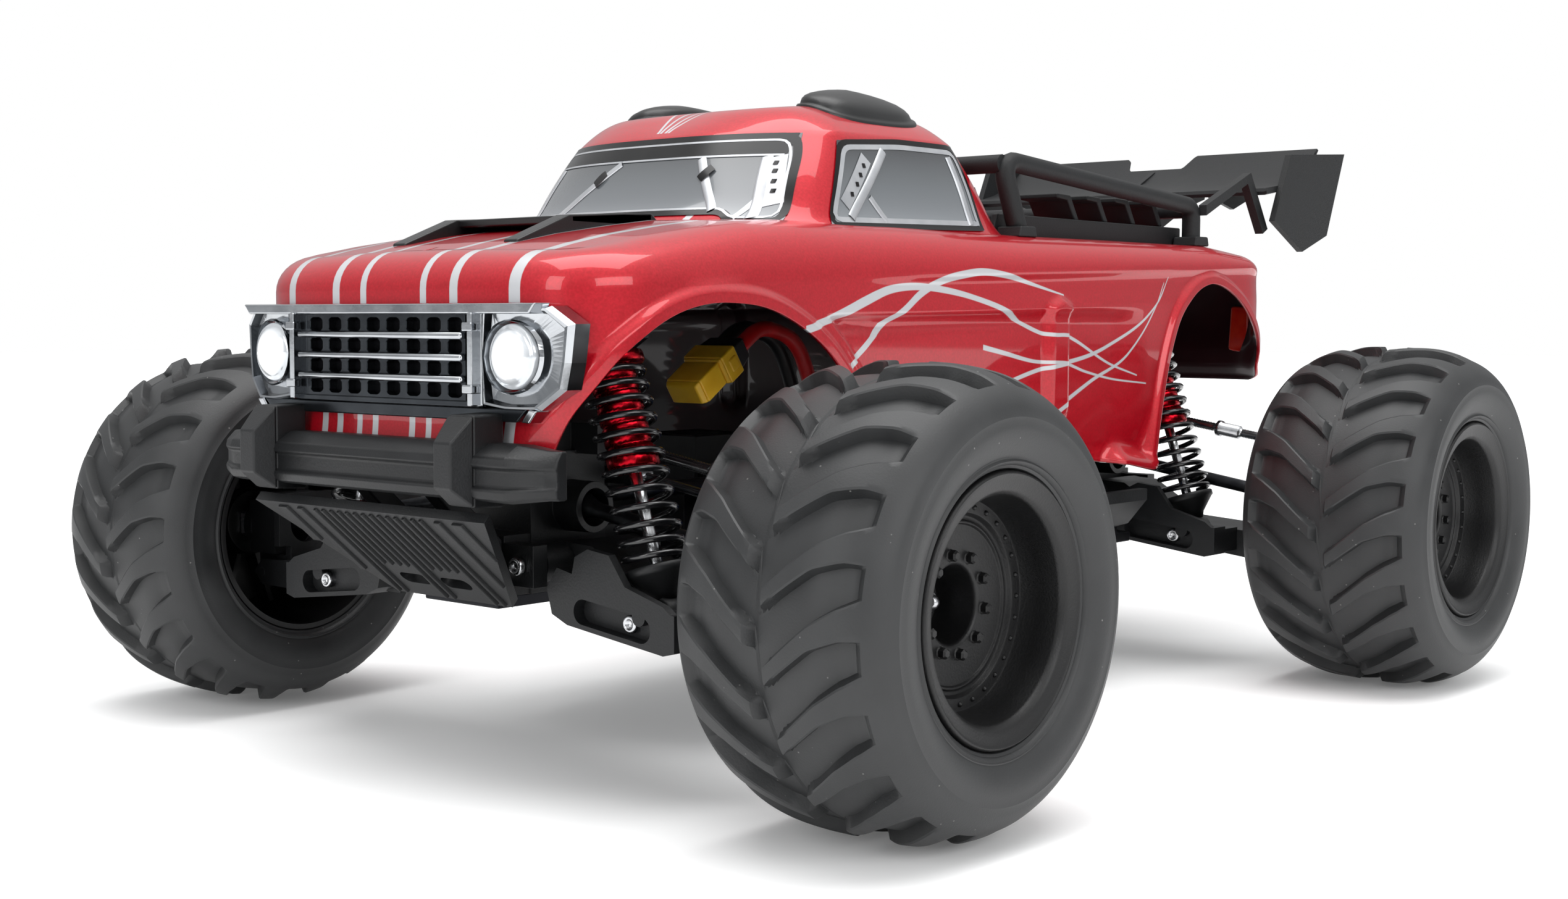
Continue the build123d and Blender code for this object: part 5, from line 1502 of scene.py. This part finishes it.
# %% Screws in the arm's pocket and the arm's hinge pins
for end, side, axle, sign in CORNERS:
    corner = f"{end}_{side}"
    fixings = []
    for y, z, radius, socket, low, high in ((66.0, 48.8, 2.5, 1.3, 22.6, 25.4),
                                            (24.0, 61.0, 2.6, 1.4, 26.4, 28.2),
                                            (24.0, 61.0, 2.6, 1.4, -28.2, -26.4)):
        face, back = (high, low) if high > 0 else (low, high)
        inside = face - 1.2 * np.sign(face)
        profile = [(back, radius), (face - 0.4 * np.sign(face), radius), (face, radius - 0.4),
                   (face, socket), (inside, socket),
                   (inside, 0.05)]
        fixings.append(([(axle + a, sign * (y + r * math.cos(t)), z + r * math.sin(t)) for a, r in profile
                         for t in np.linspace(0, 2 * np.pi, 24, endpoint=False)],
                         grid_faces(6, 24, wrap=True)))
    publish(f"arm_screws_{corner}", sound(from_arrays("arm_screws", *merge(fixings))), bright_steel,
            f"arm_{corner}")

# %% Steering
for side, sign in (("left", 1), ("right", -1)):
    dressed(f"steering_knuckle_{side}", f"knuckle_moulding_{side}", arm_nylon, f"knuckle_{side}",
            0.5)
    dressed(f"tie_rod_{side}", f"tie_rod_bar_{side}", bright_steel, f"tie_{side}", 0.25)
dressed("steering_link", "steering_cross_bar", arm_nylon, "cross_bar", 0.4)

# %% [markdown]
# ## Chassis and electronics
# Under the shell sit the tub, gear cases and shock towers, then the motor, its controller, the
# servo and the battery with its lead. Little of it is seen from outside, so the CAD shapes are
# kept, with soft edges and the finish each part has: anodised aluminium, shrink wrap, moulded cases.

# %% Electronics finishes
plate_metal, tree, surface = material("black_anodised_aluminium", "#1a1b1e", 0.38, Metallic=0.85)
mottle(tree, surface, ("#16171a", "#232428"), 8, 0.08, 0.4, (0.3, 0.46))
case_plastic, tree, surface = material("moulded_abs_case", "#17181a", 0.45)
mottle(tree, surface, ("#141517", "#1e1f21"), 10, 0.2, 0.5, (0.38, 0.54))
wrap_film, tree, surface = material("heat_shrunk_pvc_wrap", "#1b3f7a", 0.3, Coat_Weight=0.3)
mottle(tree, surface, ("#173667", "#21498c"), 30, 0.25, 3.0, (0.24, 0.38))
amber_plug, tree, surface = material("moulded_amber_nylon_plug", "#e8b01f", 0.36, Subsurface_Weight=0.1)
mottle(tree, surface, ("#dea51a", "#f0bc30"), 8, 0.15, 0.5, (0.3, 0.44))
red_silicone, tree, surface = material("red_silicone_wire", "#d0161b", 0.38)
mottle(tree, surface, ("#c21216", "#dc2026"), 6, 0.1, 0.5, (0.36, 0.5))
black_silicone, tree, surface = material("black_silicone_wire", "#121214", 0.45)
mottle(tree, surface, ("#101012", "#1a1a1c"), 6, 0.1, 0.5, (0.38, 0.52))
can_steel, tree, surface = material("brushed_motor_can", "#8e9094", 0.32, Metallic=1.0)
mottle(tree, surface, ("#84868a", "#9a9ca0"), 3, 0.1, 0.4, (0.24, 0.4))

# %% Housings
for node_name, piece_name, finish, slot, bevel in (
        ("chassis_plate", "chassis_tub", plate_metal, "moulded_nylon", 0.5),
        ("gear_housings", "gear_cases", nylon, "moulded_nylon", 0.6),
        ("shock_towers", "shock_tower_plates", plate_metal, "tower_plate", 0.5),
        ("skid_plates", "skid_plate_moulding", nylon, "moulded_nylon", 0.5),
        ("battery_pack", "battery_brick", wrap_film, "battery_wrap", 0.6),
        ("speed_controller", "controller_box", case_plastic, "controller_case", 0.4),
        ("steering_servo", "servo_box", case_plastic, "servo_case", 0.4)):
    dressed(node_name, piece_name, finish, "chassis", bevel)
dressed("drive_motor", "motor_can", can_steel, "chassis", 0.4)
dressed("centre_shaft", "propeller_shaft_steel", dark_steel, "propeller_shaft", 0.15)
dressed("pinion_gear", "pinion_steel", dark_steel, "motor_pinion", 0.1)

# %% Battery lead and plug
for name, y, finish in (("lead_black", 20.0, black_silicone), ("lead_red", 28.0, red_silicone)):
    route = rounded([(62, y, 76.5), (62, y, 104), (72, y, 124), (90, y, 128), (101.5, y, 120.2)], 12, 8)
    bar(name, route, 2.5, finish, "chassis", ["battery_lead"])
aim = np.array([11, 0, -7.5]) / math.hypot(11, 7.5)
lift = np.array([7.5, 0, 11]) / math.hypot(11, 7.5)


def plug_block(low, high, wide, tall, wide_end=None, tall_end=None):
    """A block along the plug's own line, from low to high beyond the leads."""
    points = []
    for run, half, rise in ((low, wide, tall), (high, wide_end or wide, tall_end or tall)):
        for a, b in ((-1, -1), (1, -1), (1, 1), (-1, 1)):
            points.append(tuple(np.array([101, 24,
                                          120.5]) + aim * run + lift * rise * b + np.array([0, half * a, 0])))
    return points, [(3, 2, 1, 0), (4, 5, 6, 7)] + [(i, (i + 1) % 4, 4 + (i + 1) % 4, 4 + i)
                                                   for i in range(4)]


plug = merge([plug_block(4, 11, 8, 4.8), plug_block(11, 12, 8, 4.8, 7, 4), plug_block(12, 22, 7, 4),
              plug_block(22, 24, 7, 4, 6, 3.2), plug_block(5, 9, 8.4, 2.2)])
publish("plug_body", sound(from_arrays("plug_body", *plug)), amber_plug, "chassis",
        bevel=0.6)
publish("plug_boot", sound(from_arrays("plug_boot", *plug_block(-2, 4, 6.6, 3.6, 7.6, 4.2))),
        black_silicone, "chassis",
        bevel=0.8)
print("chassis and electronics ready")

# %% [markdown]
# ## Tail lamps
# Two small red acrylic lenses wrap the rear corners of the bed. Each is a leaning block with wide
# soft edges, so an extruded outline is enough.

# %% Tail lamps
tail_red, tree, surface = material("moulded_red_lamp_acrylic", "#c21a12", 0.18, Coat_Weight=0.6)
mottle(tree, surface, ("#b8150f", "#d0301a"), 4, 0.05, 1.0, (0.14, 0.24))
for side, sign in (("left", 1), ("right", -1)):
    lamp = [(sign * 57, 117.5), (sign * 66, 116), (sign * 66, 134.5), (sign * 58, 135)]
    prism(f"tail_lamp_{side}", lamp if sign > 0 else lamp[::-1], "x", -168.6, -162.5, tail_red, "shell",
          bevel=1.2)
print("tail lamps ready")
